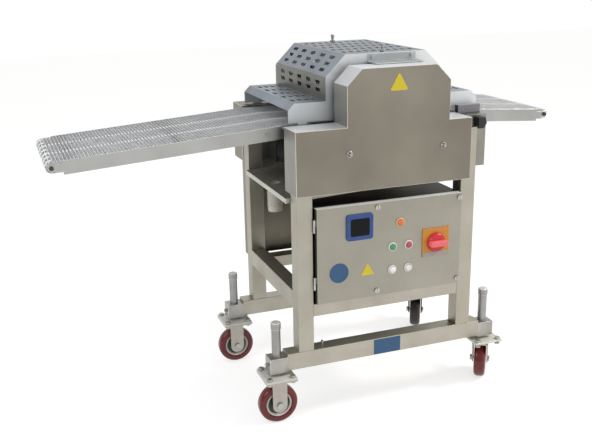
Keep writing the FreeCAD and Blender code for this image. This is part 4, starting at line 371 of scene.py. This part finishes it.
def moulded(name, colour, other, roughness, patch=30.0, metallic=0.0, relief=0.02):
    """A moulded, cast or painted surface: two close tones in patches of a size in mm, over a pimpled skin."""
    skin = bpy.data.materials.new(name)
    skin.use_nodes = True
    tree = skin.node_tree
    tree.nodes.clear()
    spot = add_node(tree, "ShaderNodeTexCoord").outputs["Object"]
    patches = add_node(tree, "ShaderNodeTexNoise", {
        "Vector": spot, "Scale": 1 / (patch * MM), "Detail": 3.0})
    pimples = add_node(tree, "ShaderNodeTexNoise", {
        "Vector": spot, "Scale": 1 / (PIMPLE_SIZE * MM), "Detail": 2.0})
    paint = add_node(tree, "ShaderNodeMix", {
        "Factor": patches.outputs["Fac"], "A": linear(colour), "B": linear(other)}, data_type="RGBA")
    rough = add_node(tree, "ShaderNodeMapRange", {
        "Value": patches.outputs["Fac"], "To Min": roughness - PATCH_SPREAD,
        "To Max": roughness + PATCH_SPREAD})
    bump = add_node(tree, "ShaderNodeBump", {
        "Height": pimples.outputs["Fac"], "Strength": relief, "Distance": PIMPLE_DEPTH * MM})
    shader = add_node(tree, "ShaderNodeBsdfPrincipled", {
        "Base Color": paint.outputs["Result"], "Metallic": metallic, "Roughness": rough.outputs["Result"],
        "Normal": bump.outputs[0]})
    add_node(tree, "ShaderNodeOutputMaterial", {"Surface": shader.outputs[0]})
    return skin


door_top_painted_highlight = moulded("sheet edge, painted highlight", "#fafaf7", "#efefec", 0.5, 30.0, 0.3)
satin_door = sheet_steel("satin steel sheet, door", "#98958a", "#a4a196", 0.42, (0.05, 1, 1), 180.0)
# Painted reflection: the cabinet's sheet is painted nearly black.
cabinet_sheet_painted_dark = sheet_steel("satin steel sheet, cabinet, painted dark", "#2b2a25", "#3f3d36", 0.42, (0.05, 1, 1), 180.0)
door = rounded("door_panel", 1.6, satin_door, "cabinet_door", edge_strip_material=edge_wear_and_highlight)
# Painted highlight on the door's upward faces.
paint_faces(door, door_top_painted_highlight, lambda middle, normal: normal[:, 2] > TOP_EDGE)
rounded("electrical_cabinet", 1.2, cabinet_sheet_painted_dark)
rounded("cabinet_hinges", 1.0, turned_bright)
rounded("door_hinge_leaves", 1.0, turned_bright, "cabinet_door")
rounded("door_locks", 1.0, turned_bright, "cabinet_door")


# The conveyor's side rails and cross bars carry the belt. They are folded and welded from the same sheet.
# The rails are satin and a neutral grey, the bars are painted dark as painted shade under the belt, and two
# white plastic strips run over the bars under the belt.
STRIP_MIDDLES = (253.7, 376.3)
STRIP_HALF = 7.0
rail_steel = sheet_steel("satin steel rail", "#a5a5a2", "#b5b5b2", 0.38, (0.05, 1, 1), 140.0)
# Painted shade: the cross bars get a dark grey for the shade they lie in under the belt.
bar_steel_painted_shade = sheet_steel("steel bar, painted shade", "#55544f", "#6f6e69", 0.44, (1, 0.05, 1), 60.0)
strip_plastic = moulded("white slide strip", "#f4f4f2", "#eaeae8", 0.4)
rounded("conveyor_side_rails", 1.2, rail_steel, edge_strip_material=edge_wear_and_highlight)
cross_bars = rounded("conveyor_cross_bars", 0.6, bar_steel_painted_shade)
paint_faces(cross_bars, strip_plastic, lambda middle, normal: np.min(
    [abs(middle[:, 1] - place) for place in STRIP_MIDDLES], axis=0) < STRIP_HALF)


# The belt is woven stainless wire: a straight rod across each row and a flat coil that hooks row to row.
# The wires are drawn bright, so that the belt looks nearly white, and what lies below shows between them.
# The photo's rows are about 7 mm apart. These are drawn coarser, so that they show.
BELT_SIDES = (131.0, 499.0)
# Each pulley has x, z and a radius, which is negative where it presses on the belt from outside.
BELT_PULLEYS = [(632, 875.64, 15.5), (370, 888, 21.5), (-290, 888, 21.5), (-961, 847.04, 15.5),
                (-250, 863, -10.5), (35, 800, 41.5), (200, 863, -10.5)]
ROW_PITCH = 10.0
COIL_PITCH = 9.0
COIL_HALF_HEIGHT = 0.8
COIL_HOOK = 0.6
COIL_INSET = 1.0
COIL_PIECES = 3
WIRE_RADIUS = 0.55
ROD_RADIUS = 1.3
ROD_INSETS = (0.4, 3.0)
PATH_STEP = 0.5
ARC_POINTS = 40


def belt_path(pulleys, step):
    """The closed line of a belt round a row of pulleys: runs that touch two pulleys each, joined by arcs.

    A run's heading is the angle between two centres less the arc sine of the radius change over their
    distance. A point of the line is a centre less the left-hand normal times the radius. The line is given at
    equal steps, as the places along it and x, z and the heading there.
    """
    centres = np.array([p[:2] for p in pulleys], float)
    radii = np.array([p[2] for p in pulleys], float)
    gaps = np.roll(centres, -1, 0) - centres
    lengths = np.hypot(*gaps.T)
    runs = np.arctan2(gaps[:, 1], gaps[:, 0]) - np.arcsin((np.roll(radii, -1) - radii) / lengths)
    before = np.roll(runs, 1)
    turns = (runs - before) % math.tau
    turns = np.where(radii > 0, turns, turns - math.tau)
    share = np.linspace(0, 1, ARC_POINTS)
    headings = before[:, None] + turns[:, None] * share
    headings = np.unwrap(headings.ravel())
    each = np.repeat(np.arange(len(pulleys)), len(share))
    x = centres[each, 0] + np.sin(headings) * radii[each]
    z = centres[each, 1] - np.cos(headings) * radii[each]
    x, z, headings = np.r_[x, x[0]], np.r_[z, z[0]], np.r_[headings, headings[0] + math.tau]
    along = np.r_[0, np.cumsum(np.hypot(np.diff(x), np.diff(z)))]
    places = np.linspace(0, along[-1], int(along[-1] / step) + 1)
    return places, *(np.interp(places, along, values) for values in (x, z, headings))


def wires(lines, uprights, radius, sides=3):
    """Round wires along lines of points, an array of lines by points by three, as one mesh.

    At each point the ring is the point plus the radius times the cosine of an angle along the side direction
    and its sine along the upright; the side is the tangent crossed with the upright. Ends are closed.
    """
    tangents = np.gradient(lines, axis=1)
    aside = np.cross(tangents, uprights)
    aside /= np.linalg.norm(aside, axis=2, keepdims=True)
    tall = np.cross(aside, tangents)
    tall /= np.linalg.norm(tall, axis=2, keepdims=True)
    angles = np.arange(sides) * math.tau / sides
    rings = (lines[:, :, None] + radius * (np.cos(angles)[:, None] * aside[:, :, None]
                                           + np.sin(angles)[:, None] * tall[:, :, None]))
    count, points = lines.shape[:2]
    index = np.arange(count * points * sides).reshape(count, points, sides)
    near, far = index[:, :-1], index[:, 1:]
    quads = np.stack([near, far, np.roll(far, -1, 2), np.roll(near, -1, 2)], -1).reshape(-1, 4)
    caps = np.r_[index[:, 0], index[:, -1, ::-1]]
    mesh = bpy.data.meshes.new("wires")
    mesh.from_pydata((rings.reshape(-1, 3) + origin) * MM, [], quads.tolist() + caps.tolist())
    mesh.shade_smooth()
    return mesh


belt_steel = sheet_steel("drawn steel wire, coiled", "#ced0d2", "#e2e4e5", 0.36, (1, 1, 1), 20.0, 0.02)
rod_steel = sheet_steel("drawn bright steel rod", "#f0f2f3", "#fafbfb", 0.40, (1, 1, 1), 20.0, 0.02)
places, path_x, path_z, path_heading = belt_path(BELT_PULLEYS, PATH_STEP)
row_count = round(places[-1] / ROW_PITCH)
row_gap = places[-1] / row_count
row_starts = np.arange(row_count) * row_gap
coil_turns = round((BELT_SIDES[1] - BELT_SIDES[0]) / COIL_PITCH)


def on_belt(distance, width, height):
    """Points of the belt at a width: the path at a distance along it, moved out of its loop by a height."""
    distance = distance % places[-1]
    heading = np.interp(distance, places, path_heading)
    x = np.interp(distance, places, path_x) + np.sin(heading) * height
    z = np.interp(distance, places, path_z) - np.cos(heading) * height
    outward = np.stack([np.sin(heading), 0 * heading, -np.cos(heading)], -1)
    return np.stack([x, width + 0 * x, z], -1), outward


quarter = np.arange(coil_turns * 2 + 1) / 2 + 0.25
coil_span = BELT_SIDES[1] - BELT_SIDES[0] - 2 * COIL_INSET
coil_width = BELT_SIDES[0] + COIL_INSET + (quarter - 0.25) * coil_span / coil_turns
coil_reach = row_gap * (0.5 - COIL_HOOK * np.sin(quarter * math.tau))
coil_lines, coil_up = on_belt(row_starts[:, None] + coil_reach, coil_width,
                              COIL_HALF_HEIGHT * np.sin(quarter * math.tau))
for part, rows in enumerate(np.array_split(np.arange(row_count), COIL_PIECES)):
    piece(f"belt_coils_{part + 1}", wires(coil_lines[rows], coil_up[rows], WIRE_RADIUS), "frame",
          belt_steel, ["mesh_belt"])

rod_width = np.r_[BELT_SIDES[0] + np.array(ROD_INSETS), BELT_SIDES[1] - np.array(ROD_INSETS[::-1])]
rod_lines, rod_up = on_belt(row_starts[:, None] + 0 * rod_width, rod_width, 0 * rod_width)
piece("belt_rods", wires(rod_lines, rod_up, ROD_RADIUS, 4), "frame", rod_steel)


# Two lines of short sleeves sit on the rods over the slide strips, a third of the width from each edge.
# They are cut from drawn steel tube and wear smooth on the strips; they are painted near white, a painted
# highlight, and show as two dotted bright lines.
SLEEVE_RADIUS = 2.5
SLEEVE_HALF = 10.0
SLEEVE_SAG = -0.8
# Painted highlight: the sleeves are near-white and not metallic.
sleeve_painted_highlight = moulded("drawn tube, painted highlight", "#fdfdfd", "#ffffff", 0.42, 20.0)
sleeve_width = np.linspace(-SLEEVE_HALF, SLEEVE_HALF, 3)
sleeves = [on_belt(row_starts[:, None] + 0 * sleeve_width, middle + sleeve_width,
                   SLEEVE_SAG + 0 * sleeve_width) for middle in STRIP_MIDDLES]
sleeve_lines, sleeve_up = (np.concatenate(parts) for parts in zip(*sleeves))
piece("belt_sleeves", wires(sleeve_lines, sleeve_up, SLEEVE_RADIUS, 6), "frame",
      sleeve_painted_highlight)


# Each castor has a cast polyurethane tyre on a pale moulded rim with a dark recess and a steel axle bolt.
# The tyre is brick red and slightly glossy, its shoulders rounded; the rim is pinkish white.
# The far tyre is painted nearly black: painted shade.
TYRE_RED = "#7e1e19"
TYRE_RADIUS = 62.5
TYRE_WIDTH = 38.0
TYRE_SHOULDER = 12.0
SHOULDER_POINTS = 6
RIM_RADIUS = 42.0
RECESS_RADIUS = 35.0
POLE_GAP = 0.01
WHEELS = ("left_front", "left_rear", "right_front", "right_rear")


def turned(name, profile, centre, axis, sides=64):
    """A profile of radii and places along the axis, turned once round it: a point at an angle is the centre,
    plus the place along the axis, plus the radius times cosine and sine of the angle across it."""
    radius, place = np.array(profile, float).T[:, :, None] * MM
    axis = np.array(axis, float) / np.linalg.norm(axis)
    first = np.cross(axis, (0, 0, 1)) if abs(axis[2]) < 0.9 else np.cross(axis, (0, 1, 0))
    first /= np.linalg.norm(first)
    second = np.cross(axis, first)
    angle = np.arange(sides) * math.tau / sides
    points = (np.array(centre) + place[..., None] * axis
              + radius[..., None] * (np.cos(angle)[:, None] * first + np.sin(angle)[:, None] * second))
    index = np.arange(points.shape[0] * sides).reshape(-1, sides)
    near, far = index[:-1], index[1:]
    quads = np.stack([near, np.roll(near, -1, 1), np.roll(far, -1, 1), far], -1).reshape(-1, 4)
    shape = bmesh.new()
    mesh = bpy.data.meshes.new(name)
    mesh.from_pydata(points.reshape(-1, 3), [], quads.tolist())
    shape.from_mesh(mesh)
    bmesh.ops.remove_doubles(shape, verts=shape.verts, dist=POLE_GAP * MM)
    bmesh.ops.holes_fill(shape, edges=shape.edges)
    bmesh.ops.recalc_face_normals(shape, faces=shape.faces)
    shape.to_mesh(mesh)
    shape.free()
    mesh.shade_smooth()
    return mesh


tyre_rubber = moulded("cast polyurethane tyre", TYRE_RED, "#4e0f12", 0.22, 40.0)
# Painted shade: the far tyre's colour is nearly black.
far_tyre_painted_shade = moulded("cast polyurethane tyre, painted shade", "#2e211f", "#1f1718", 0.45, 25.0)
rim_plastic = moulded("moulded nylon rim", "#e6dfda", "#d6cec8", 0.42)
recess_green = moulded("dark green moulded hub", "#27352e", "#39463e", 0.4)
half = TYRE_WIDTH / 2
shoulder = np.linspace(0, math.pi / 2, SHOULDER_POINTS)
outer_edge = np.c_[TYRE_RADIUS - TYRE_SHOULDER + TYRE_SHOULDER * np.sin(shoulder),
                   half - TYRE_SHOULDER + TYRE_SHOULDER * np.cos(shoulder)]
tyre_profile = np.r_[[(RIM_RADIUS, half - 3), (RIM_RADIUS + 3, half)], outer_edge,
                     outer_edge[::-1] * (1, -1), [(RIM_RADIUS + 3, -half), (RIM_RADIUS, 3 - half)]]
tyre_profile = np.r_[tyre_profile, tyre_profile[:1]]
rim_profile = [(RECESS_RADIUS, half - 9), (RECESS_RADIUS + 1, half - 4), (RIM_RADIUS - 2, half - 3),
               (RIM_RADIUS, half - 5), (RIM_RADIUS, 5 - half), (RIM_RADIUS - 2, 3 - half),
               (RECESS_RADIUS + 1, 4 - half), (RECESS_RADIUS, 9 - half), (RECESS_RADIUS, half - 9)]
hub_profile = [(0, half - 7), (11, half - 7), (13, half - 9), (13, half - 11), (RECESS_RADIUS, half - 11),
               (RECESS_RADIUS, 11 - half), (13, 11 - half), (13, 9 - half), (11, 7 - half), (0, 7 - half)]
spins = {j["name"]: j for j in frame["joints"]}
for wheel in WHEELS:
    body = wheel + "_wheel"
    low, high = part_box(wheel + "_tyre")
    centre = (low + high) / 2
    spin_axis = spins[body + "_spin"]["axis"]
    round_edges(piece(wheel + "_cast_tyre", turned(wheel, tyre_profile, centre, spin_axis, 72), body,
                       far_tyre_painted_shade if wheel == "right_rear" else tyre_rubber,
                       [wheel + "_tyre"]), 0.8)
    round_edges(piece(wheel + "_rim", turned(wheel, rim_profile, centre, spin_axis), body,
                       rim_plastic, [wheel + "_hub"]), 0.6)
    round_edges(piece(wheel + "_recess", turned(wheel, hub_profile, centre, spin_axis, 48), body,
                       recess_green), 0.6)


# The castor forks are pressed from zinc-plated plate; two are fixed and two swivel and carry brake pedals.
# Round posts and bolted plates join them to the clamp blocks, so that the frame can be set higher.
# The plates and the posts' tops are sawn, and are painted paler and flatter than the ground posts, a painted
# light that lifts the shade under the frame.
PLATE_TOP = 170.0
POST_TOP = 0.6
# Zinc gives a soft grey sheen. The rear fork is painted nearly black as painted shade, and the pedals' grey
# is between the two.
pressed_zinc = moulded("zinc-plated pressing", "#b9b3a9", "#a3a19a", 0.42, 25.0, 1.0)
# Painted shade: the rear swivel fork gets a nearly black copy of the zinc.
zinc_painted_shade = moulded("zinc-plated pressing, painted shade", "#353330", "#4a4845", 0.5, 25.0, 1.0)
post_steel = sheet_steel("ground steel post", "#959593", "#a9a9a7", 0.45, (1, 1, 0.1), 60.0)
plate_steel_painted_light = moulded("sawn steel plate, painted light", "#cfcec6", "#dddcd4", 0.62, 25.0, 0.35)
bolt_steel = moulded("stainless bolt", "#9b9b97", "#b5b5b1", 0.30, 12.0, 1.0)
pedal_steel = moulded("pressed pedal", "#6a6c6d", "#7b7d7e", 0.36, 20.0, 1.0)
posts = rounded("height_posts", 1.2, post_steel, "wheel_carriage", edge_strip_material=edge_wear_and_highlight)
# Painted light: the plates and every upward face of the posts get the paler steel.
paint_faces(posts, plate_steel_painted_light,
            lambda middle, normal: (middle[:, 2] < PLATE_TOP) | (normal[:, 2] > POST_TOP))
rounded("plate_bolts", 0.6, bolt_steel, "wheel_carriage")
rounded("rigid_forks", 1.2, pressed_zinc, "wheel_carriage", edge_strip_material=edge_wear_and_highlight)
rounded("rigid_axles", 1.0, turned_bright, "wheel_carriage")
for side in ("front", "rear"):
    rounded(side + "_swivel_fork", 1.2, zinc_painted_shade if side == "rear" else pressed_zinc,
            side + "_swivel")
    rounded(side + "_swivel_axle", 1.0, turned_bright, side + "_swivel")
    rounded(side + "_brake_pedal", 1.0, pedal_steel, side + "_pedal")


# Screws, studs and small fittings hold the covers and panels; safety switches watch the guard.
# The screws are stainless and bright, the switches moulded in black plastic. The right one has a bar in
# violet grey, beyond the place below in x and z.
SWITCH_BAR = (285.0, 905.0)
black_moulding = moulded("black moulded plastic", "#17171a", "#242427", 0.42)
rounded("frame_fasteners", 0.6, bolt_steel)
switches = rounded("safety_switches", 1.5, black_moulding)
paint_faces(switches, moulded("violet-grey moulded bar", "#85838c", "#93919a", 0.4, 20.0),
            lambda middle, normal: (middle[:, 0] > SWITCH_BAR[0]) & (middle[:, 2] > SWITCH_BAR[1]))
rounded("contact_blocks", 1.0, black_moulding, "cabinet_door")


# Under the covers a gear motor drives the belt's roller by a chain; the rollers turn in flanged bearings.
# The motor is dark enamel, the chain oiled and nearly black, the rollers turned and ground.
motor_enamel = moulded("dark enamel", "#3a3a37", "#4a4a45", 0.34, 30.0)
oiled_chain = moulded("oiled chain steel", "#46433d", "#5b584f", 0.34, 12.0, 1.0)
ground_roller = sheet_steel("ground steel roller", "#8c8c8a", "#a6a6a4", 0.28, (1, 0.1, 1), 40.0)
rounded("gear_motor", 1.5, motor_enamel)
rounded("drive_chain", 0.6, oiled_chain)
rounded("motor_sprocket", 0.6, oiled_chain, "motor_sprocket")
rounded("roller_bearings", 0.8, oiled_chain)
for roller in ("drive_roller", "infeed_press_roller", "outfeed_press_roller"):
    rounded(roller, 0.8, ground_roller, roller)


# At each end the belt turns round a row of narrow wheels on a thin shaft, as wide as the belt.
# The wheels are moulded in white plastic, reach between the wires, and dark gaps show between them.
NOSE_WHEELS = 7
NOSE_RADIUS = 16.2
NOSE_CHAMFER = 2.0
NOSE_SHAFT = 6.0
NOSE_WHEEL_HALF = 9.0
OUTER_NOSE_WHEEL = 158.0
wheel_middles = np.linspace(-OUTER_NOSE_WHEEL, OUTER_NOSE_WHEEL, NOSE_WHEELS)[:, None]
wheel_step = wheel_middles + np.array([-1, -1, -0.8, 0.8, 1, 1]) * NOSE_WHEEL_HALF
wheel_radii = np.tile([NOSE_SHAFT, NOSE_RADIUS - NOSE_CHAMFER, NOSE_RADIUS, NOSE_RADIUS,
                       NOSE_RADIUS - NOSE_CHAMFER, NOSE_SHAFT], (NOSE_WHEELS, 1))
nose_plastic = moulded("white moulded nose wheel", "#f6f6f4", "#e9e9e7", 0.30, 20.0)
for roller in ("infeed_nose_roller", "outfeed_nose_roller"):
    low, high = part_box(roller)
    centre = (low + high) / 2
    reach = (high - low)[1] / MM / 2
    nose_profile = np.r_[[(0, -reach), (NOSE_SHAFT, -reach)],
                         np.c_[wheel_radii.ravel(), wheel_step.ravel()],
                         [(NOSE_SHAFT, reach), (0, reach)]]
    nose = round_edges(piece(roller + "_wheels", turned(roller, nose_profile, centre, (0, 1, 0), 32), roller,
                             nose_plastic, [roller]), 0.4)
    paint_faces(nose, oiled_chain, lambda middle, normal: np.hypot(
        *(middle + origin - np.array(centre) / MM)[:, [0, 2]].T) < NOSE_SHAFT + 0.5)


# The drain spout under the tray is a short ribbed plastic hose, pushed on and clamped.
# It is moulded in a pale grey plastic that has yellowed a little.
hose_moulding = moulded("pale moulded hose", "#dedccf", "#c6c4b7", 0.5)
rounded("drain_hose", 1.2, hose_moulding)


# The touch screen is a blue moulded frame round a dark glass, with a black case that goes through the door.
# The frame is satin. The glass is nearly black, and its coating mirrors the room less than bare glass would.
# Each outline below is a width, a height and a corner radius.
BEZEL = (87.0, 81.0, 9.0)
BEZEL_DEPTH = 6.0
GLASS = (62.0, 54.0, 5.0)
GLASS_PROUD = 0.4
GLASS_DEPTH = 3.0
GLASS_IOR = 1.25
CASE = (70.0, 64.0, 3.0)
CASE_START = 5.5
CORNER_POINTS = 6
screen_frame = moulded("blue moulded screen frame", "#2c5096", "#264887", 0.36)
screen_glass = moulded("dark screen glass", "#0a0b0d", "#101210", 0.3, 60.0, relief=0.0)
screen_glass.node_tree.nodes["Principled BSDF"].inputs["IOR"].default_value = GLASS_IOR


def flat_plate(name, outline, front, thickness):
    """A thin plate that faces the front: an outline of x and z in mm, carried back by the thickness."""
    outline = np.array(outline, float)
    count = len(outline)
    levels = np.array([front, front + thickness])[:, None] + np.zeros(count)
    points = np.stack([np.tile(outline[:, 0], 2), levels.ravel(), np.tile(outline[:, 1], 2)], -1)
    ring = np.arange(count)
    after = np.roll(ring, -1)
    walls = np.c_[ring, ring + count, after + count, after]
    mesh = bpy.data.meshes.new(name)
    mesh.from_pydata(points * MM, [], [ring.tolist(), (ring[::-1] + count).tolist()] + walls.tolist())
    shape = bmesh.new()
    shape.from_mesh(mesh)
    bmesh.ops.recalc_face_normals(shape, faces=shape.faces)
    shape.to_mesh(mesh)
    shape.free()
    return mesh


def rounded_outline(corners, radius):
    """Corner points with an arc of a radius at each: the arc's centre lies along the corner's bisector, at
    the radius over the sine of half its angle, and the arc turns from one edge's normal to the next."""
    corners = np.array(corners, float)
    before = corners - np.roll(corners, 1, 0)
    after = np.roll(corners, -1, 0) - corners
    before /= np.linalg.norm(before, axis=1, keepdims=True)
    after /= np.linalg.norm(after, axis=1, keepdims=True)
    bisector = after - before
    bisector /= np.linalg.norm(bisector, axis=1, keepdims=True)
    half_angle = np.arccos(np.clip((-before * after).sum(1), -1, 1)) / 2
    centres = corners + bisector * (radius / np.sin(half_angle))[:, None]
    start = np.arctan2(-before[:, 0], before[:, 1])
    turn = (np.arctan2(-after[:, 0], after[:, 1]) - start + math.pi) % math.tau - math.pi
    angles = start[:, None] + turn[:, None] * np.linspace(0, 1, CORNER_POINTS)
    arcs = centres[:, None] + radius * np.stack([np.cos(angles), np.sin(angles)], -1)
    return arcs.reshape(-1, 2)


def rectangle(low_x, low_z, high_x, high_z):
    """The four corners of an upright rectangle, counter-clockwise."""
    return [(low_x, low_z), (high_x, low_z), (high_x, high_z), (low_x, high_z)]


screen_low, screen_high = (np.array(p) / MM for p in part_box("touch_screen"))
screen_middle = (screen_low + screen_high) / 2


def framed(width, height, corner):
    """A rounded outline round the middle of the screen."""
    half = np.array([width, height]) / 2
    low, high = screen_middle[[0, 2]] - half, screen_middle[[0, 2]] + half
    return rounded_outline(rectangle(*low, *high), corner)


bezel_plate = flat_plate("screen_bezel", framed(*BEZEL), screen_low[1], BEZEL_DEPTH)
case_plate = flat_plate("screen_case", framed(*CASE), screen_low[1] + CASE_START,
                        screen_high[1] - screen_low[1] - CASE_START)
glass_plate = flat_plate("screen_glass", framed(*GLASS), screen_low[1] - GLASS_PROUD, GLASS_DEPTH)
round_edges(piece("screen_bezel", bezel_plate, "cabinet_door", screen_frame,
                  ["touch_screen"]), 1.5)
round_edges(piece("screen_case", case_plate, "cabinet_door", black_moulding), 1.0)
piece("screen_glass", glass_plate, "cabinet_door", screen_glass)


# Four push buttons and a lamp sit in pale round rings. The caps are a little domed and slide in when pressed.
# Caps and rings are glossy moulded plastic; the lamp's lens and its ring are orange. Places are x and z.
RING_PROFILE = [(9.9, 0), (9.9, 3.6), (11, 4.8), (12.6, 4.8), (14, 3.2), (14, 0), (9.9, 0)]
CAP_PROFILE = [(0, -8), (9.3, -8), (9.3, 6), (8.6, 7.6), (7, 8.6), (4, 9.4), (0, 9.8)]
LAMP_PROFILE = [(0, 0), (9.6, 0), (9.6, 6.5), (8.5, 9), (6, 10.6), (0, 11)]
LAMP_CASE_PROFILE = [(0, -30), (11, -30), (11, 0.2), (0, 0.2)]
DOOR_FACE = -16.0
LAMP_PLACE = (31.0, 612.0)
BUTTONS = {"start_button": (6, 537, "green_cap", "#4fa873", "#3f9763"),
           "stop_button": (61, 537, "red_cap", "#c65b6c", "#b84f60"),
           "left_white_button": (6, 463, "white_cap", "#ffffff", "#faf8f2"),
           "right_white_button": (61, 463, "white_cap", "#ffffff", "#faf8f2")}
pale_ring = moulded("pale moulded ring", "#efeae4", "#e2ddd6", 0.34)
for button, (x, z, slot, colour, other) in BUTTONS.items():
    centre = (np.array([x, DOOR_FACE, z]) + origin) * MM
    cap = moulded(button.replace("_", " ") + " cap", colour, other, 0.28, 10.0)
    round_edges(piece(button + "_ring", turned(button, RING_PROFILE, centre, (0, -1, 0), 40), "cabinet_door",
                      pale_ring, ["button_rings"]), 0.4)
    piece(button + "_cap", turned(button, CAP_PROFILE, centre, (0, -1, 0), 40), button, cap, [button])
centre = (np.array([LAMP_PLACE[0], DOOR_FACE, LAMP_PLACE[1]]) + origin) * MM
lens = moulded("orange lamp lens", "#ee8742", "#e67a36", 0.22, 8.0)
pale_orange = moulded("pale orange ring", "#efc3a2", "#e7b48f", 0.3, 8.0)
round_edges(piece("lamp_ring", turned("lamp", RING_PROFILE, centre, (0, -1, 0), 40), "cabinet_door",
                  pale_orange), 0.4)
round_edges(piece("lamp_lens", turned("lamp", LAMP_PROFILE, centre, (0, -1, 0), 40), "cabinet_door",
                  lens, ["pilot_lamp"]), 0.4)
piece("lamp_case", turned("lamp", LAMP_CASE_PROFILE, centre, (0, -1, 0), 32), "cabinet_door",
      black_moulding)


# The main switch is a red dial with a cross grip on a square yellow plate. A quarter turn switches it off.
# Both are glossy moulded plastic. The plate's foot is a pale grey strip, and the grip is painted a paler red,
# a painted highlight.
DIAL_PROFILE = [(0, -6), (9, -6), (9, 1), (31, 1), (31, 5), (28, 12), (25, 14), (0, 14)]
DIAL_SEAT = 10.0
GRIP = (60.0, 17.0, 6.0)
GRIP_DEPTH = 18.0
GRIP_EDGE = 2.5
FOOT_HEIGHT = 15.0
FOOT_INSETS = (1.5, 1.0)
FOOT_PROUD = 0.6
pale_foot = moulded("pale grey moulded strip", "#b3ada6", "#a39d96", 0.34, 20.0)
switch_yellow = moulded("yellow moulded plate", "#dc932f", "#c98a2c", 0.32, 20.0)
dial_red = moulded("red moulded dial", "#d8303a", "#cb2834", 0.28, 20.0)
# Painted highlight: the grip's paler red.
grip_painted_highlight = moulded("red moulded grip, painted highlight", "#fa7a80", "#f47076", 0.28, 20.0)
rounded("switch_plate", 1.2, switch_yellow, "cabinet_door")
plate_low, plate_high = (np.array(p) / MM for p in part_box("switch_plate"))
foot = rectangle(plate_low[0] + FOOT_INSETS[0], plate_low[2] + FOOT_INSETS[1],
                 plate_high[0] - FOOT_INSETS[0], plate_low[2] + FOOT_HEIGHT)
foot_strip = flat_plate("foot", foot, plate_low[1] - FOOT_PROUD, 2 * FOOT_PROUD)
round_edges(piece("switch_plate_foot", foot_strip, "cabinet_door", pale_foot), 0.3)
knob_low, knob_high = (np.array(p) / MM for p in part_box("main_switch_knob"))
knob_middle = (knob_low + knob_high) / 2
dial_centre = np.array([knob_middle[0], knob_high[1] - DIAL_SEAT, knob_middle[2]]) * MM
round_edges(piece("switch_dial", turned("dial", DIAL_PROFILE, dial_centre, (0, -1, 0), 48), "main_switch",
                  dial_red, ["main_switch_knob"]), 0.8)
grip_half = np.array(GRIP[:2]) / 2
grip_low, grip_high = knob_middle[[0, 2]] - grip_half, knob_middle[[0, 2]] + grip_half
grip_bar = flat_plate("grip", rounded_outline(rectangle(*grip_low, *grip_high), GRIP[2]), knob_low[1],
                      GRIP_DEPTH)
round_edges(piece("switch_grip", grip_bar, "main_switch", grip_painted_highlight), GRIP_EDGE)


# A steel cap closes each end of the lower rails beside the clamp blocks.
# It is cut from 2 mm sheet, welded in and blasted with the tube, so that it looks as grey as the frame.
TUBE = 50.0
CAP_SHEET = 2.0
rail_low, rail_high = (np.array(p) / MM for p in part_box("frame_lower_rails"))
for end, x in (("left", rail_low[0]), ("right", rail_high[0] - CAP_SHEET)):
    for side, y in (("front", rail_low[1]), ("rear", rail_high[1] - TUBE)):
        across_rail = rectangle(x, rail_low[2] + CAP_SHEET, x + CAP_SHEET, rail_high[2] - CAP_SHEET)
        cap_plate = flat_plate("cap", across_rail, y + CAP_SHEET, TUBE - 2 * CAP_SHEET)
        round_edges(piece(f"{end}_{side}_rail_cap", cap_plate, "frame",
                          blasted_upright), 0.3)


# Blank plates stand where the machine's labels are: two yellow triangles, a blue disc and a blue label.
# Each is a thin printed plastic plate, glued on, and carries no sign or word. It is glossy and even in tone.
PLATE_THICKNESS = 0.8
DISC_RADIUS = 31.0
DISC_PLACE = (-171.0, 476.0)
DISC_POINTS = 48
label_yellow = moulded("yellow plastic plate", "#e3cf2e", "#d8c42a", 0.35, 20.0)
label_blue = moulded("blue plastic plate", "#2f5d86", "#28547c", 0.35, 20.0)
# Each plate has its corners in x and z, its corner radius and the place of its face in y.
BLANK_PLATES = {
    "cover_plate": ([(-5.6, 1012), (54, 1012), (24.2, 1065)], 4.0, -8.0, "frame", label_yellow,
                    "yellow_plate"),
    "door_plate": ([(-99, 457), (-55, 457), (-77, 496)], 3.0, DOOR_FACE, "cabinet_door", label_yellow,
                   "yellow_plate"),
    "rail_plate": (rectangle(-45, 177, 47, 227), 2.0, 0.0, "frame", label_blue, "screen_plastic"),
}
for name, (plate_corners, corner, face, body, material, slot) in BLANK_PLATES.items():
    outline = rounded_outline(plate_corners, corner) + origin[[0, 2]]
    mesh = flat_plate(name, outline, face + origin[1] - PLATE_THICKNESS, PLATE_THICKNESS)
    piece(name, mesh, body, material)
turn = np.linspace(0, math.tau, DISC_POINTS, endpoint=False)
disc = np.stack([np.cos(turn), np.sin(turn)], -1) * DISC_RADIUS + DISC_PLACE + origin[[0, 2]]
disc_plate = flat_plate("door_disc", disc, DOOR_FACE + origin[1] - PLATE_THICKNESS, PLATE_THICKNESS)
piece("door_disc", disc_plate, "cabinet_door", label_blue)
